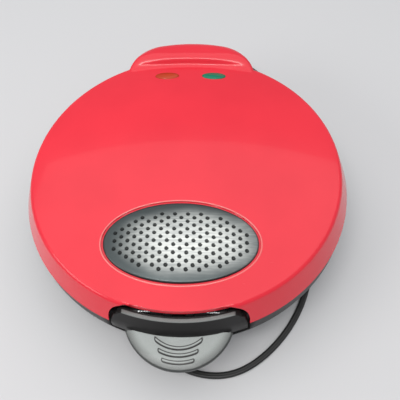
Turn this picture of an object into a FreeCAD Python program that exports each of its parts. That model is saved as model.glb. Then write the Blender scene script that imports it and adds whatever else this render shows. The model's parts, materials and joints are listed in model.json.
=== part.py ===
import FreeCAD, Part
import os
from math import acos, atan2, cos, degrees, pi, radians, sin, sqrt, tan
from FreeCAD import Vector

os.makedirs("parts", exist_ok=True)

# A round countertop donut maker, in millimetres, +Z up, front towards -Y.
# Pieces are drawn about the lid's upright axis, then moved so that the outline is centred on the origin.

# Casing
foot_height = 14.0
base_depth = 34.4
casing_margin = 24.0
base_set_in = 0.4
base_floor_set_in = 27.6
base_band_height = 7.4
rim_gap = 1.6
lid_side_height = 19.3
lid_side_lean = 7.0
lid_dome_rise = 10.0
lid_shoulder_round = 4.0
casing_wall = 2.5

# Rear hump of the lid, over the hinge
hump_half_width = 53.0
hump_overhang = 8.0
hump_crest_height = 27.5
hump_back_radius = 120.0
hump_corner_radius = 34.0
hump_edge_round = 12.0
hump_set_in = 22.0
hump_valley_radius = 4.0
hump_valley_sink = 0.3
hump_crest_radius = 5.0
hump_root = 18.0
window_side_gap = 1.5
window_height = 10.0

# Hinge
hinge_set_in = 2.0
hinge_rise = 2.0
hinge_barrel_radius = 5.5
hinge_pin_radius = 2.5
hinge_ear_start = 36.0
hinge_ear_width = 9.0
hinge_knuckle_width = 10.0
hinge_side_play = 0.4
hinge_ear_drop = 16.0
running_clearance = 0.05
hinge_flat_gap = 0.5
rear_relief = 1.5

# Cooking plates
plate_gap = 0.5
plate_border = 4.0
plate_flange_width = 4.0
plate_flange_thickness = 2.8
plate_web = 3.2
cavity_land = 2.0
cavity_count = 6
cavity_ring_radius = 19.5
cavity_depth = 10.5
cavity_wall = 2.5
shield_boss_set_in = 12.0
shield_boss_radius = 4.5
shield_boss_angles = (30.0, 150.0, 270.0)

# Frames that hold the plates
frame_setback = 1.0
frame_lip = 2.0
frame_clearance = 0.4
frame_collar = 2.5
frame_shell_clearance = 0.3
plate_post_gap = 2.6
plate_post_radius = 3.2
plate_post_angles = (20.0, 160.0, 235.0, 305.0)
casing_screw_set_in = 12.0
casing_screw_angles = (40.0, 140.0, 220.0, 320.0)
casing_boss_radius = 4.5
casing_post_radius = 3.5
casing_post_length = 7.0

# Heaters, shields and controls
heater_radius = 2.7
heater_gap_angle = 16.0
heater_pin_radius = 1.2
heater_pin_length = 9.0
shield_set_in = 10.0
shield_thickness = 0.7
shield_hole_radius = 24.0
thermostat_radius = 8.0
thermostat_height = 7.0
thermostat_blade = (6.3, 0.8, 6.0)
thermostat_blade_offset = 4.5
fuse_radius = 1.8
fuse_length = 16.0
fuse_offset = 12.5
terminal_block_size = (30.0, 14.0, 10.0)
terminal_block_place = (-30.0, 62.0)

# Screws
screw_radius = 1.5
screw_head_radius = 3.0
screw_head_height = 2.2
screw_hole_clearance = 0.2
screw_head_clearance = 0.4
screw_grip = 7.0
boss_cap = 3.0
washer_head_height = 1.6
washer_overlap = 1.6
shield_screw_radius = 1.9
shield_screw_head = 3.8
shield_screw_head_height = 1.3
lid_counterbore = 1.0

# Oval plate on the lid
oval_half_length = 52.0
oval_half_width = 28.5
oval_set_in = 55.0
oval_gap = 2.0
oval_seat_depth = 1.1
oval_proud = 0.9
dimple_pitch = 8.8
dimple_row_step = 2.8
dimple_radius = 1.5
dimple_depth = 0.6
dimple_floor = 0.8
dimple_margin = 4.5

# Indicator lenses and lamps
lens_half_length = 9.5
lens_half_width = 4.0
lens_spacing = 38.0
lens_set_in = 31.0
lens_clearance = 0.15
lens_flange = 2.0
lens_flange_thickness = 1.2
lens_proud = 0.3
lamp_radius = 2.4
lamp_length = 12.0
lamp_drop = 3.2
holder_length = 56.0
holder_width = 9.0
holder_thickness = 1.6
holder_arm_width = 2.0
holder_boss_radius = 3.5

# Latch
latch_half_width = 45.0
latch_thickness = 3.5
latch_top = 12.0
latch_drop = 7.0
latch_corner_radius = 15.0
notch_side_gap = 1.4
notch_corner_radius = 17.0
notch_depth = 9.0
notch_lip_set_in = 8.7
notch_return = 2.0
notch_return_depth = 8.0
latch_pin_radius = 1.5
latch_pin_set_in = 13.0
latch_pin_rise = 7.5
latch_pin_half_length = 31.0
latch_ear_span = (4.5, 9.5)
latch_inner_knuckle_span = (10.0, 18.5)
latch_outer_knuckle_span = (26.5, 30.5)
latch_knuckle_radius = 3.3
latch_ear_radius = 3.2
latch_knuckle_gap = 0.5
tab_overhang = 21.0
tab_radius = 38.0
tab_root_rise = -3.0
tab_slope_angle = 14.0
tab_thickness = 4.2
tab_edge_round = 1.5
rib_first_radius = 24.0
rib_step = 4.4
rib_half_widths = (15.5, 13.0, 10.5)
rib_width = 2.0
rib_height = 1.0
hook_half_width = 14.0
hook_drop = 6.0
hook_barb = 1.1
hook_barb_height = 2.5
catch_clearance = 0.3
catch_half_width = 16.0
catch_thickness = 2.0
catch_height = 4.5
pocket_side_gap = 2.0
pocket_floor_gap = 1.0
spring_span = (19.3, 25.7)
spring_clearance = 0.02
spring_wire_radius = 0.4
spring_turns = 4

# Feet
foot_circle = 78.0
foot_radius = 11.0
foot_pad_radius = 9.0
foot_pad_height = 4.5
foot_pad_seat = 1.5
foot_pad_clearance = 0.1
vent_count = 12
vent_circle = 52.0
vent_length = 22.0
vent_width = 3.0

# Cord, its strain relief and plug
cord_diameter = 4.8
gland_x = 4.0
gland_height = 24.0
gland_boss_radius = 8.0
gland_bore_radius = 5.0
gland_flange_radius = 6.8
gland_flange_thickness = 2.0
gland_inner_lip = 6.0
gland_taper_length = 20.0
gland_tip_radius = 3.6
plug_length = 30.0
plug_width = 24.0
plug_thickness = 12.0
plug_nose_width = 16.0
blade_length = 17.0
blade_width = 6.3
blade_thickness = 1.5
blade_spacing = 12.7
lead_radius = 2.2
lead_bend = 5.0
lead_reach = 13.0

# Levels and radii worked out from the sizes above
cavity_circle_radius = 2 * (cavity_ring_radius + cavity_depth) + cavity_land
plate_face_radius = cavity_circle_radius + cavity_ring_radius + cavity_depth + plate_border
lid_rim_radius = plate_face_radius + casing_margin
base_rim_radius = lid_rim_radius - base_set_in
base_floor_radius = base_rim_radius - base_floor_set_in
hump_reach = lid_rim_radius + hump_overhang
hump_valley_start = lid_rim_radius - hump_set_in
hinge_reach = lid_rim_radius - hinge_set_in
rear_flat_reach = hinge_reach - hinge_barrel_radius - hinge_flat_gap
window_half_width = hinge_ear_start + hinge_ear_width + window_side_gap
shield_boss_circle = plate_face_radius - shield_boss_set_in
shield_radius = plate_face_radius - shield_set_in
casing_screw_circle = lid_rim_radius - casing_screw_set_in
oval_reach = lid_rim_radius - oval_set_in
lens_reach = lid_rim_radius - lens_set_in
notch_lip_reach = lid_rim_radius - notch_lip_set_in
latch_pin_reach = lid_rim_radius - latch_pin_set_in
latch_cavity_reach = latch_pin_reach - latch_knuckle_radius - latch_knuckle_gap
tab_reach = lid_rim_radius + tab_overhang
base_rim_z = foot_height + base_depth
lid_rim_z = base_rim_z + rim_gap
parting_z = base_rim_z + rim_gap / 2
shoulder_radius = lid_rim_radius - lid_side_lean
shoulder_z = lid_rim_z + lid_side_height
apex_z = shoulder_z + lid_dome_rise
dome_radius = (shoulder_radius**2 + lid_dome_rise**2) / (2 * lid_dome_rise)
dome_centre_z = apex_z - dome_radius
base_band_z = base_rim_z - base_band_height
bowl_run = base_rim_radius - base_floor_radius
bowl_radius = (bowl_run**2 + (base_band_z - foot_height) ** 2) / (2 * bowl_run)
bowl_centre_radius = base_rim_radius - bowl_radius
crest_z = lid_rim_z + hump_crest_height
hinge_z = lid_rim_z + hinge_rise
plate_face_z = parting_z - plate_gap / 2
plate_back_z = plate_face_z - cavity_depth - cavity_wall
frame_face_z = parting_z - frame_setback
flange_top_z = frame_face_z - frame_lip
flange_bottom_z = flange_top_z - plate_flange_thickness
flange_radius = plate_face_radius + plate_flange_width
collar_radius = flange_radius + frame_clearance
plate_post_circle = collar_radius + frame_collar + plate_post_gap
heater_z = plate_back_z - heater_radius
shield_top_z = plate_back_z - 2 * heater_radius
liner_back_z = 2 * parting_z - flange_top_z
latch_pin_z = lid_rim_z + latch_pin_rise
latch_top_z = lid_rim_z + latch_top
latch_bottom_z = lid_rim_z - latch_drop
hook_bottom_z = latch_bottom_z - hook_drop
pocket_floor_z = hook_bottom_z - pocket_floor_gap
hook_tip_radius = lid_rim_radius - latch_thickness - hook_barb
catch_face_radius = hook_tip_radius - catch_clearance
pocket_radius = catch_face_radius - catch_thickness
tab_centre_y = tab_radius - tab_reach
gland_face_y = rear_flat_reach
gland_tip_y = gland_face_y + gland_flange_thickness + gland_taper_length
spring_mean_radius = latch_pin_radius + spring_wire_radius + spring_clearance
axis_shift = (tab_reach - hump_reach) / 2
above = apex_z + 20
below = -20.0
far = base_rim_radius + 60

# Route of the cord over the table: places about the lid's axis, from the strain relief to the plug
floor_z = cord_diameter / 2
cord_route = [
    (gland_x, gland_tip_y, gland_height),
    (4.0, 151.0, 23.0),
    (12.5, 165.7, 18.0),
    (27.2, 174.2, 11.0),
    (44.2, 174.2, 5.0),
    (58.9, 165.7, floor_z),
    (67.4, 151.0, floor_z),
    (70.0, 131.0, floor_z),
    (75.0, 108.0, floor_z),
    (83.0, 82.0, floor_z),
    (92.0, 54.0, floor_z),
    (98.5, 22.0, floor_z),
    (100.5, -14.0, floor_z),
    (97.0, -49.0, floor_z),
    (86.0, -84.0, floor_z),
    (65.0, -113.0, floor_z),
    (39.0, -131.5, floor_z),
    (11.0, -132.5, floor_z),
    (-13.0, -120.0, floor_z),
    (-26.0, -97.0, floor_z),
    (-29.0, -68.0, floor_z),
    (-26.0, -36.0, floor_z),
    (-22.0, -4.0, floor_z),
    (-22.5, 28.0, floor_z),
    (-25.0, 58.0, floor_z),
    (-29.0, 84.0, 4.2),
    (-31.0, 104.0, plug_thickness / 2),
]


def line(start, end):
    """Straight edge between two points."""
    return Part.LineSegment(start, end).toShape()


def arc(start, middle, end):
    """Round edge through three points."""
    return Part.Arc(start, middle, end).toShape()


def face_of(edges):
    """Flat face inside a closed chain of edges."""
    return Part.Face(Part.Wire(edges))


def polygon(points):
    """Flat face with straight sides."""
    return Part.Face(Part.makePolygon(points + points[:1]))


def turned(face, x=0.0, y=0.0):
    """Solid of revolution about an upright axis."""
    return face.revolve(Vector(x, y, 0), Vector(0, 0, 1), 360)


def rod(radius, low, high, x=0.0, y=0.0):
    """Upright cylinder between two heights."""
    return Part.makeCylinder(radius, high - low, Vector(x, y, low), Vector(0, 0, 1))


def cross_rod(radius, start_x, end_x, y, z):
    """Cylinder along X."""
    return Part.makeCylinder(radius, end_x - start_x, Vector(start_x, y, z), Vector(1, 0, 0))


def rear_rod(radius, start_y, end_y, x, z):
    """Cylinder along Y."""
    return Part.makeCylinder(radius, end_y - start_y, Vector(x, start_y, z), Vector(0, 1, 0))


def block(low, high):
    """Box between two corners."""
    size = [b - a for a, b in zip(low, high)]
    return Part.makeBox(size[0], size[1], size[2], Vector(*low))


def ring(inner, outer, low, high):
    """Flat ring about the lid's axis."""
    return rod(outer, low, high).cut(rod(inner, low - 1, high + 1))


def front_sector(inner, outer, low, high, half_width):
    """Part of a ring at the front, between two side planes."""
    return ring(inner, outer, low, high).common(block((-half_width, -far, low), (half_width, 0, high)))


def joined(shapes):
    """One solid from several that overlap."""
    first, *rest = shapes
    return first.fuse(rest).removeSplitter()


def polar(radius, angle):
    """X and Y of a place on a circle about the lid's axis."""
    return radius * cos(radians(angle)), radius * sin(radians(angle))


def across_profile(points, half_width):
    """Solid with one upright outline in Y and Z, the same all across X."""
    face = polygon([Vector(-half_width, y, z) for y, z in points])
    return face.extrude(Vector(2 * half_width, 0, 0))


def to_lid(shape):
    """The matching piece on the lid's side of the parting plane."""
    return shape.mirror(Vector(0, 0, parting_z), Vector(0, 0, 1))


def dome_z(radius, inset=0.0):
    """Height of the lid's dome, or of a surface a given depth below it."""
    return dome_centre_z + sqrt((dome_radius - inset) ** 2 - radius**2)


def side_radius(z, inset=0.0):
    """Radius of the lid's leaning side wall at a height."""
    return lid_rim_radius - inset - lid_side_lean * (z - lid_rim_z) / lid_side_height


def dome_cap(inset):
    """Everything under the dome, or under a surface a given depth below it."""
    radius = shoulder_radius - lid_shoulder_round
    low = lid_rim_z
    edges = [
        line(Vector(0, 0, low), Vector(radius, 0, low)),
        line(Vector(radius, 0, low), Vector(radius, 0, dome_z(radius, inset))),
        arc(
            Vector(radius, 0, dome_z(radius, inset)),
            Vector(radius / 2, 0, dome_z(radius / 2, inset)),
            Vector(0, 0, apex_z - inset),
        ),
        line(Vector(0, 0, apex_z - inset), Vector(0, 0, low)),
    ]
    return turned(face_of(edges))


def lid_round(inset, low):
    """Round part of the lid: leaning side wall, shoulder and dome."""
    rim = side_radius(low, inset)
    radius = shoulder_radius - inset
    top = dome_z(radius, inset)
    edges = [
        line(Vector(0, 0, low), Vector(rim, 0, low)),
        line(Vector(rim, 0, low), Vector(radius, 0, top)),
        arc(
            Vector(radius, 0, top),
            Vector(radius / 2, 0, dome_z(radius / 2, inset)),
            Vector(0, 0, apex_z - inset),
        ),
        line(Vector(0, 0, apex_z - inset), Vector(0, 0, low)),
    ]
    solid = turned(face_of(edges))
    shoulder = [e for e in solid.Edges if e.Vertexes[0].Z > low + 1 and abs(e.BoundBox.XMax - radius) < 0.01]
    return solid.makeFillet(lid_shoulder_round, shoulder)


def hump_slope(inset):
    """Side outline of the hump: a hollow valley off the dome, a round crest, then level to the back."""
    start_slope = hump_valley_start / sqrt(dome_radius**2 - hump_valley_start**2)
    lean = sqrt(1 / (1 + start_slope**2))
    normal = (start_slope * lean, lean)
    valley = hump_valley_radius + inset
    crest = hump_crest_radius - inset
    deep = inset + hump_valley_sink
    start = (hump_valley_start - deep * normal[0], dome_z(hump_valley_start) - deep * normal[1])
    rise = crest_z - inset - start[1]
    steepest = acos((valley * lean + crest - rise) / (valley + crest))
    first = -acos(lean)
    centre = (start[0] + valley * normal[0], start[1] + valley * normal[1])
    middle = (first + steepest) / 2
    valley_points = [
        (centre[0] + valley * sin(turn), centre[1] - valley * cos(turn))
        for turn in (first, middle, steepest)
    ]
    crest_centre = (valley_points[2][0] + crest * sin(steepest), crest_z - inset - crest)
    crest_points = [
        (crest_centre[0] - crest * sin(turn), crest_centre[1] + crest * cos(turn))
        for turn in (steepest, steepest / 2, 0.0)
    ]
    return valley_points, crest_points


def hump(inset, low):
    """Raised housing over the hinge, rounded along its outer edge."""
    half = hump_half_width - inset
    back = hump_reach - inset
    corner = hump_corner_radius - inset
    root = hump_valley_start - hump_root
    sweep = hump_back_radius - inset
    sweep_y = hump_reach - hump_back_radius
    turn_x = half - corner
    turn_y = sweep_y + sqrt((sweep - corner) ** 2 - turn_x**2)
    lean = atan2(turn_x, turn_y - sweep_y)
    halfway = (lean + pi / 2) / 2
    meet = (sweep * sin(lean), sweep_y + sweep * cos(lean))
    bend = (turn_x + corner * sin(halfway), turn_y + corner * cos(halfway))
    valley, crest = hump_slope(inset)

    def spot(pair):
        return Vector(-half - 1, pair[0], pair[1])

    beyond = back + 5
    side = [
        arc(*[spot(p) for p in valley]),
        arc(spot(valley[2]), spot(crest[1]), spot(crest[2])),
        line(spot(crest[2]), spot((beyond, crest[2][1]))),
        line(spot((beyond, crest[2][1])), spot((beyond, low))),
        line(spot((beyond, low)), spot((root, low))),
        line(spot((root, low)), spot((root, valley[0][1]))),
        line(spot((root, valley[0][1])), spot(valley[0])),
    ]
    lengthwise = face_of(side).extrude(Vector(2 * half + 2, 0, 0))
    plan = [
        line(Vector(-half, root, low), Vector(half, root, low)),
        line(Vector(half, root, low), Vector(half, turn_y, low)),
        arc(Vector(half, turn_y, low), Vector(*bend, low), Vector(*meet, low)),
        arc(Vector(*meet, low), Vector(0, back, low), Vector(-meet[0], meet[1], low)),
        arc(Vector(-meet[0], meet[1], low), Vector(-bend[0], bend[1], low), Vector(-half, turn_y, low)),
        line(Vector(-half, turn_y, low), Vector(-half, root, low)),
    ]
    upright = face_of(plan).extrude(Vector(0, 0, crest_z - inset - low))
    top_edges = [e for e in upright.Edges if e.BoundBox.ZMin > low + 1 and e.BoundBox.YMax > root + 1]
    upright = upright.makeFillet(hump_edge_round - inset, top_edges)
    return lengthwise.common(upright)


def lid_form(inset, low):
    """Outside of the lid, or the hollow a given depth inside it."""
    return lid_round(inset, low).fuse(hump(inset, low))


def base_form(inset, top):
    """Outside of the base bowl, or the hollow a given depth inside it, with its flat back."""
    radius = bowl_radius - inset
    low = foot_height + inset
    rim = base_rim_radius - inset
    floor = bowl_centre_radius + sqrt(radius**2 - (base_band_z - low) ** 2)
    half = acos((floor - bowl_centre_radius) / radius) / 2
    bend = Vector(bowl_centre_radius + radius * cos(half), 0, base_band_z - radius * sin(half))
    edges = [
        line(Vector(0, 0, low), Vector(floor, 0, low)),
        arc(Vector(floor, 0, low), bend, Vector(rim, 0, base_band_z)),
        line(Vector(rim, 0, base_band_z), Vector(rim, 0, top)),
        line(Vector(rim, 0, top), Vector(0, 0, top)),
        line(Vector(0, 0, top), Vector(0, 0, low)),
    ]
    back = block((-far, rear_flat_reach - inset, below), (far, far, above))
    return turned(face_of(edges)).cut(back)


def notch_form(grow, near, reach):
    """Opening for the latch: upright sides, round upper corners, open through the shoulder."""
    half = latch_half_width + notch_side_gap + grow
    corner = notch_corner_radius + grow
    top = shoulder_z + grow
    turn = corner * (1 - cos(pi / 4))
    low = lid_rim_z - notch_depth
    outline = [
        line(Vector(-half, near, low), Vector(half, near, low)),
        line(Vector(half, near, low), Vector(half, near, top - corner)),
        arc(
            Vector(half, near, top - corner),
            Vector(half - turn, near, top - turn),
            Vector(half - corner, near, top),
        ),
        line(Vector(half - corner, near, top), Vector(half - corner, near, above)),
        line(Vector(half - corner, near, above), Vector(corner - half, near, above)),
        line(Vector(corner - half, near, above), Vector(corner - half, near, top)),
        arc(
            Vector(corner - half, near, top),
            Vector(turn - half, near, top - turn),
            Vector(-half, near, top - corner),
        ),
        line(Vector(-half, near, top - corner), Vector(-half, near, low)),
    ]
    return face_of(outline).extrude(Vector(0, -reach, 0))


def ellipse_rod(half_x, half_y, y, x=0.0):
    """Upright prism with an oval outline, tall enough to pass the dome."""
    curve = Part.Ellipse(Vector(x, y, lid_rim_z), half_x, half_y).toShape()
    return Part.Face(Part.Wire(curve)).extrude(Vector(0, 0, above - lid_rim_z))


def dome_layer(over, under):
    """Layer of the dome between two depths below its outer surface."""
    return dome_cap(over).cut(dome_cap(under))


def casing_screw_places():
    """Places of the screws that close a casing half."""
    return [polar(casing_screw_circle, a) for a in casing_screw_angles]


def lens_places():
    """Middles of the two indicator lenses."""
    return [(-lens_spacing / 2, lens_reach), (lens_spacing / 2, lens_reach)]


def lid_cover():
    """Red shell of the lid, with the hump, latch notch, oval seat, lens openings and screw bosses."""
    outer = lid_form(0.0, lid_rim_z)
    hollow = lid_form(casing_wall, lid_rim_z - 1)
    shell = outer.cut(hollow)
    near = -(notch_lip_reach - notch_return_depth)
    returns = notch_form(notch_return, near, far).cut(notch_form(0.0, near + 1, far + 2))
    gap = latch_half_width + notch_side_gap - notch_corner_radius
    returns = returns.cut(block((-gap, -far, below), (gap, 0, above)))
    returns = returns.common(lid_round(casing_wall / 2, lid_rim_z))
    screw_top = screw_grip + liner_back_z
    boss_top = dome_z(casing_screw_circle, casing_wall / 2)
    for x, y in casing_screw_places():
        shell = shell.fuse(rod(casing_post_radius, liner_back_z, boss_top, x, y))
    tray_boss_top = dome_z(lens_reach, casing_wall / 2)
    shell = shell.fuse(rod(holder_boss_radius, holder_seat_z(), tray_boss_top, 0, lens_reach))
    shell = shell.fuse(returns)
    lip = rod(notch_lip_reach, below, above)
    shell = shell.cut(notch_form(0.0, 0.0, far).cut(lip))
    seat = ellipse_rod(oval_half_length + oval_gap, oval_half_width + oval_gap, -oval_reach)
    shell = shell.cut(seat.common(dome_layer(-5.0, oval_seat_depth)))
    for x, y in lens_places():
        hole_length = lens_half_length + lens_clearance
        hole_width = lens_half_width + lens_clearance
        shell = shell.cut(ellipse_rod(hole_length, hole_width, y, x))
    for x, y in casing_screw_places():
        shell = shell.cut(rod(screw_radius, below, screw_top, x, y))
    shell = shell.cut(rod(screw_radius, below, holder_seat_z() + screw_grip / 2, 0, lens_reach))
    window = block(
        (-window_half_width, rear_flat_reach - 2 * rear_relief, below),
        (window_half_width, far, lid_rim_z + window_height),
    )
    return shell.cut(window)


def oval_plate():
    """Convex oval metal plate with rows of round dimples, seated in the lid."""
    outline = ellipse_rod(oval_half_length, oval_half_width, -oval_reach)
    plate = outline.common(dome_layer(-oval_proud, oval_seat_depth))
    rows = int((oval_half_width - dimple_margin) / dimple_row_step)
    columns = int(oval_half_length / dimple_pitch) + 1
    dimples = []
    for row in range(-rows, rows + 1):
        y = row * dimple_row_step
        for column in range(-columns, columns + 1):
            x = (column + 0.5 * (row % 2)) * dimple_pitch
            along = x / (oval_half_length - dimple_margin)
            across = y / (oval_half_width - dimple_margin)
            inside = along**2 + across**2
            if inside < 1:
                place_y = y - oval_reach
                top = dome_z(sqrt(x * x + place_y * place_y), -oval_proud)
                out = Vector(x, place_y, top - dome_centre_z).normalize()
                foot = Vector(x, place_y, top) - out * dimple_depth
                slope = (dimple_radius - dimple_floor) / dimple_depth
                mouth = dimple_radius + slope * dimple_depth
                dimples.append(Part.makeCone(dimple_floor, mouth, 2 * dimple_depth, foot, out))
    return plate.cut(Part.makeCompound(dimples))


def lens(x, y):
    """Oval indicator lens with a flange under the lid's skin."""
    body = ellipse_rod(lens_half_length, lens_half_width, y, x)
    window = body.common(dome_layer(-lens_proud, casing_wall))
    flange = ellipse_rod(lens_half_length + lens_flange, lens_half_width + lens_flange, y, x)
    return joined([window, flange.common(dome_layer(casing_wall, casing_wall + lens_flange_thickness))])


def lamp_z():
    """Height of the lamps under their lenses."""
    return dome_z(lens_reach, casing_wall + lens_flange_thickness) - lamp_drop - lamp_radius


def holder_seat_z():
    """Height where the lamp holder meets its boss."""
    return lamp_z() - lamp_radius


def lamp(x, y):
    """Small neon tube, its ends drawn to a point."""
    half = lamp_length / 2
    tube = cross_rod(lamp_radius, x - half, x + half, y, lamp_z())
    ends = [e for e in tube.Edges if abs(e.BoundBox.XLength) < 0.01]
    return tube.makeFillet(lamp_radius * 0.4, ends)


def lamp_holder():
    """Tray that carries both lamps, screwed to the lid."""
    top = holder_seat_z()
    half = holder_length / 2
    tray = block(
        (-half, lens_reach - holder_width / 2, top - holder_thickness),
        (half, lens_reach + holder_width / 2, top),
    )
    arms = []
    for x, y in lens_places():
        for side in (-1, 1):
            middle = x + side * lamp_length / 4
            arm = block(
                (middle - holder_arm_width / 2, y - holder_width / 2, top - holder_thickness),
                (middle + holder_arm_width / 2, y + holder_width / 2, lamp_z() + lamp_radius / 2),
            )
            arms.append(arm.cut(cross_rod(lamp_radius, middle - 5, middle + 5, y, lamp_z())))
    cradles = [a.cut(block((-half, y - lamp_radius, lamp_z()), (half, y + lamp_radius, above))) for a in arms]
    hole = rod(screw_radius + screw_hole_clearance, below, above, 0, lens_reach)
    return joined([tray] + cradles).cut(hole)


def cooking_plate():
    """Cast plate for the base: raised face, flange, ring cavities with their posts, and bosses behind."""
    face = rod(plate_face_radius, plate_face_z - plate_web, plate_face_z)
    flange = ring(plate_face_radius - plate_web, flange_radius, flange_bottom_z, flange_top_z)
    swell = cavity_depth + cavity_wall
    places = [(0.0, 0.0)]
    places += [polar(cavity_circle_radius, 360.0 * i / cavity_count) for i in range(cavity_count)]
    bulges = []
    hollows = []
    for x, y in places:
        low = Vector(x + cavity_ring_radius, y, plate_back_z)
        bend = Vector(x + cavity_ring_radius + swell * cos(pi / 4), y, plate_face_z - swell * sin(pi / 4))
        rim = Vector(x + cavity_ring_radius + swell, y, plate_face_z)
        outline = [
            line(Vector(x, y, plate_back_z), low),
            arc(low, bend, rim),
            line(rim, Vector(x, y, plate_face_z)),
            line(Vector(x, y, plate_face_z), Vector(x, y, plate_back_z)),
        ]
        bulges.append(turned(face_of(outline), x, y))
        hollows.append(Part.makeTorus(cavity_ring_radius, cavity_depth, Vector(x, y, plate_face_z)))
    bosses = []
    for angle in shield_boss_angles:
        x, y = polar(shield_boss_circle, angle)
        bosses.append(rod(shield_boss_radius, shield_top_z, plate_face_z - plate_web / 2, x, y))
    plate = joined([face, flange] + bulges + bosses)
    for hollow in hollows:
        plate = plate.cut(hollow)
    for angle in shield_boss_angles:
        x, y = polar(shield_boss_circle, angle)
        plate = plate.cut(rod(shield_screw_radius, below, shield_top_z + screw_grip, x, y))
    return plate


def heater():
    """Tubular heating element: one bent tube with a terminal pin at each end."""
    start = 90.0 + heater_gap_angle
    sweep = 360.0 - 2 * heater_gap_angle
    section = Part.Wire(
        Part.Circle(Vector(cavity_circle_radius, 0, heater_z), Vector(0, 1, 0), heater_radius).toShape()
    )
    face = Part.Face(section)
    face.rotate(Vector(0, 0, 0), Vector(0, 0, 1), start)
    tube = face.revolve(Vector(0, 0, 0), Vector(0, 0, 1), sweep)
    pins = []
    for angle, way in ((start, -1), (start + sweep, 1)):
        x, y = polar(cavity_circle_radius, angle)
        heading = Vector(-sin(radians(angle)) * way, cos(radians(angle)) * way, 0)
        foot = Vector(x, y, heater_z) - heading
        pins.append(Part.makeCylinder(heater_pin_radius, heater_pin_length + 1, foot, heading))
    return joined([tube] + pins)


def heat_shield():
    """Thin round reflector behind the heater, held on the plate's bosses."""
    disc = ring(shield_hole_radius, shield_radius, shield_top_z - shield_thickness, shield_top_z)
    for angle in shield_boss_angles:
        x, y = polar(shield_boss_circle, angle)
        edge_radius = 1.5 * shield_boss_radius
        edge = rod(edge_radius, shield_top_z - shield_thickness, shield_top_z, x, y)
        disc = disc.fuse(edge)
        disc = disc.cut(rod(shield_screw_radius + screw_hole_clearance, below, above, x, y))
    return disc.removeSplitter()


def pan_screw(x, y, seat, head, head_height, shank, length):
    """Screw driven upwards, its round head under the seat height."""
    top = rod(head, seat - head_height, seat, x, y)
    rim = [e for e in top.Edges if e.BoundBox.ZMax < seat - head_height / 2]
    top = top.makeFillet(head_height * 0.4, rim)
    return joined([top, rod(shank, seat - head_height / 2, seat + length, x, y)])


def shield_screws():
    """Screws that hold a heat shield to the plate's bosses."""
    seat = shield_top_z - shield_thickness
    screws = []
    for angle in shield_boss_angles:
        x, y = polar(shield_boss_circle, angle)
        length = shield_thickness + screw_grip
        screws.append(
            pan_screw(x, y, seat, shield_screw_head, shield_screw_head_height, shield_screw_radius, length)
        )
    return Part.makeCompound(screws)


def plate_screws():
    """Washer-headed screws in the frame that clamp the plate's flange."""
    head = plate_post_circle - flange_radius + washer_overlap
    screws = []
    for angle in plate_post_angles:
        x, y = polar(plate_post_circle, angle)
        length = plate_flange_thickness + frame_lip / 2
        screws.append(pan_screw(x, y, flange_bottom_z, head, washer_head_height, screw_radius, length))
    return Part.makeCompound(screws)


def plate_frame(outer, rear):
    """Ring round a cooking plate: lip, collar and posts for the screws that clamp the plate."""
    opening = plate_face_radius + frame_clearance
    lip = ring(opening, outer, flange_top_z, frame_face_z)
    collar = ring(collar_radius, collar_radius + frame_collar, flange_bottom_z, flange_top_z + frame_lip / 2)
    posts = []
    for angle in plate_post_angles:
        x, y = polar(plate_post_circle, angle)
        posts.append(rod(plate_post_radius, flange_bottom_z, frame_face_z - frame_lip / 2, x, y))
    frame = joined([lip, collar] + posts)
    frame = frame.cut(block((-far, rear, below), (far, far, above)))
    for angle in plate_post_angles:
        x, y = polar(plate_post_circle, angle)
        frame = frame.cut(rod(screw_radius, below, flange_top_z + frame_lip / 2, x, y))
    return frame


def front_clear(reach, half_width):
    """Space at the front outside a given radius."""
    return block((-half_width, -far, below), (half_width, 0, above)).cut(rod(reach, below - 1, above + 1))


def base_bezel():
    """Black ring in the base's rim, round the lower plate."""
    outer = base_rim_radius - casing_wall - frame_shell_clearance
    frame = plate_frame(outer, rear_flat_reach - casing_wall - frame_shell_clearance)
    half = latch_half_width + pocket_side_gap + casing_wall + frame_shell_clearance
    frame = frame.cut(front_clear(pocket_radius - casing_wall - frame_shell_clearance, half))
    posts = []
    for x, y in casing_screw_places():
        post_bottom = flange_top_z - casing_post_length
        posts.append(rod(casing_post_radius, post_bottom, frame_face_z - frame_lip / 2, x, y))
    frame = joined([frame] + posts)
    for x, y in casing_screw_places():
        frame = frame.cut(rod(screw_radius, below, flange_top_z - casing_post_length + screw_grip, x, y))
    return frame


def hinge_profile(points, start_x, width):
    """Flat arm with a round end about the hinge axis."""
    web = polygon([Vector(start_x, y, z) for y, z in points]).extrude(Vector(width, 0, 0))
    return joined([web, cross_rod(hinge_barrel_radius, start_x, start_x + width, hinge_reach, hinge_z)])


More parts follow.
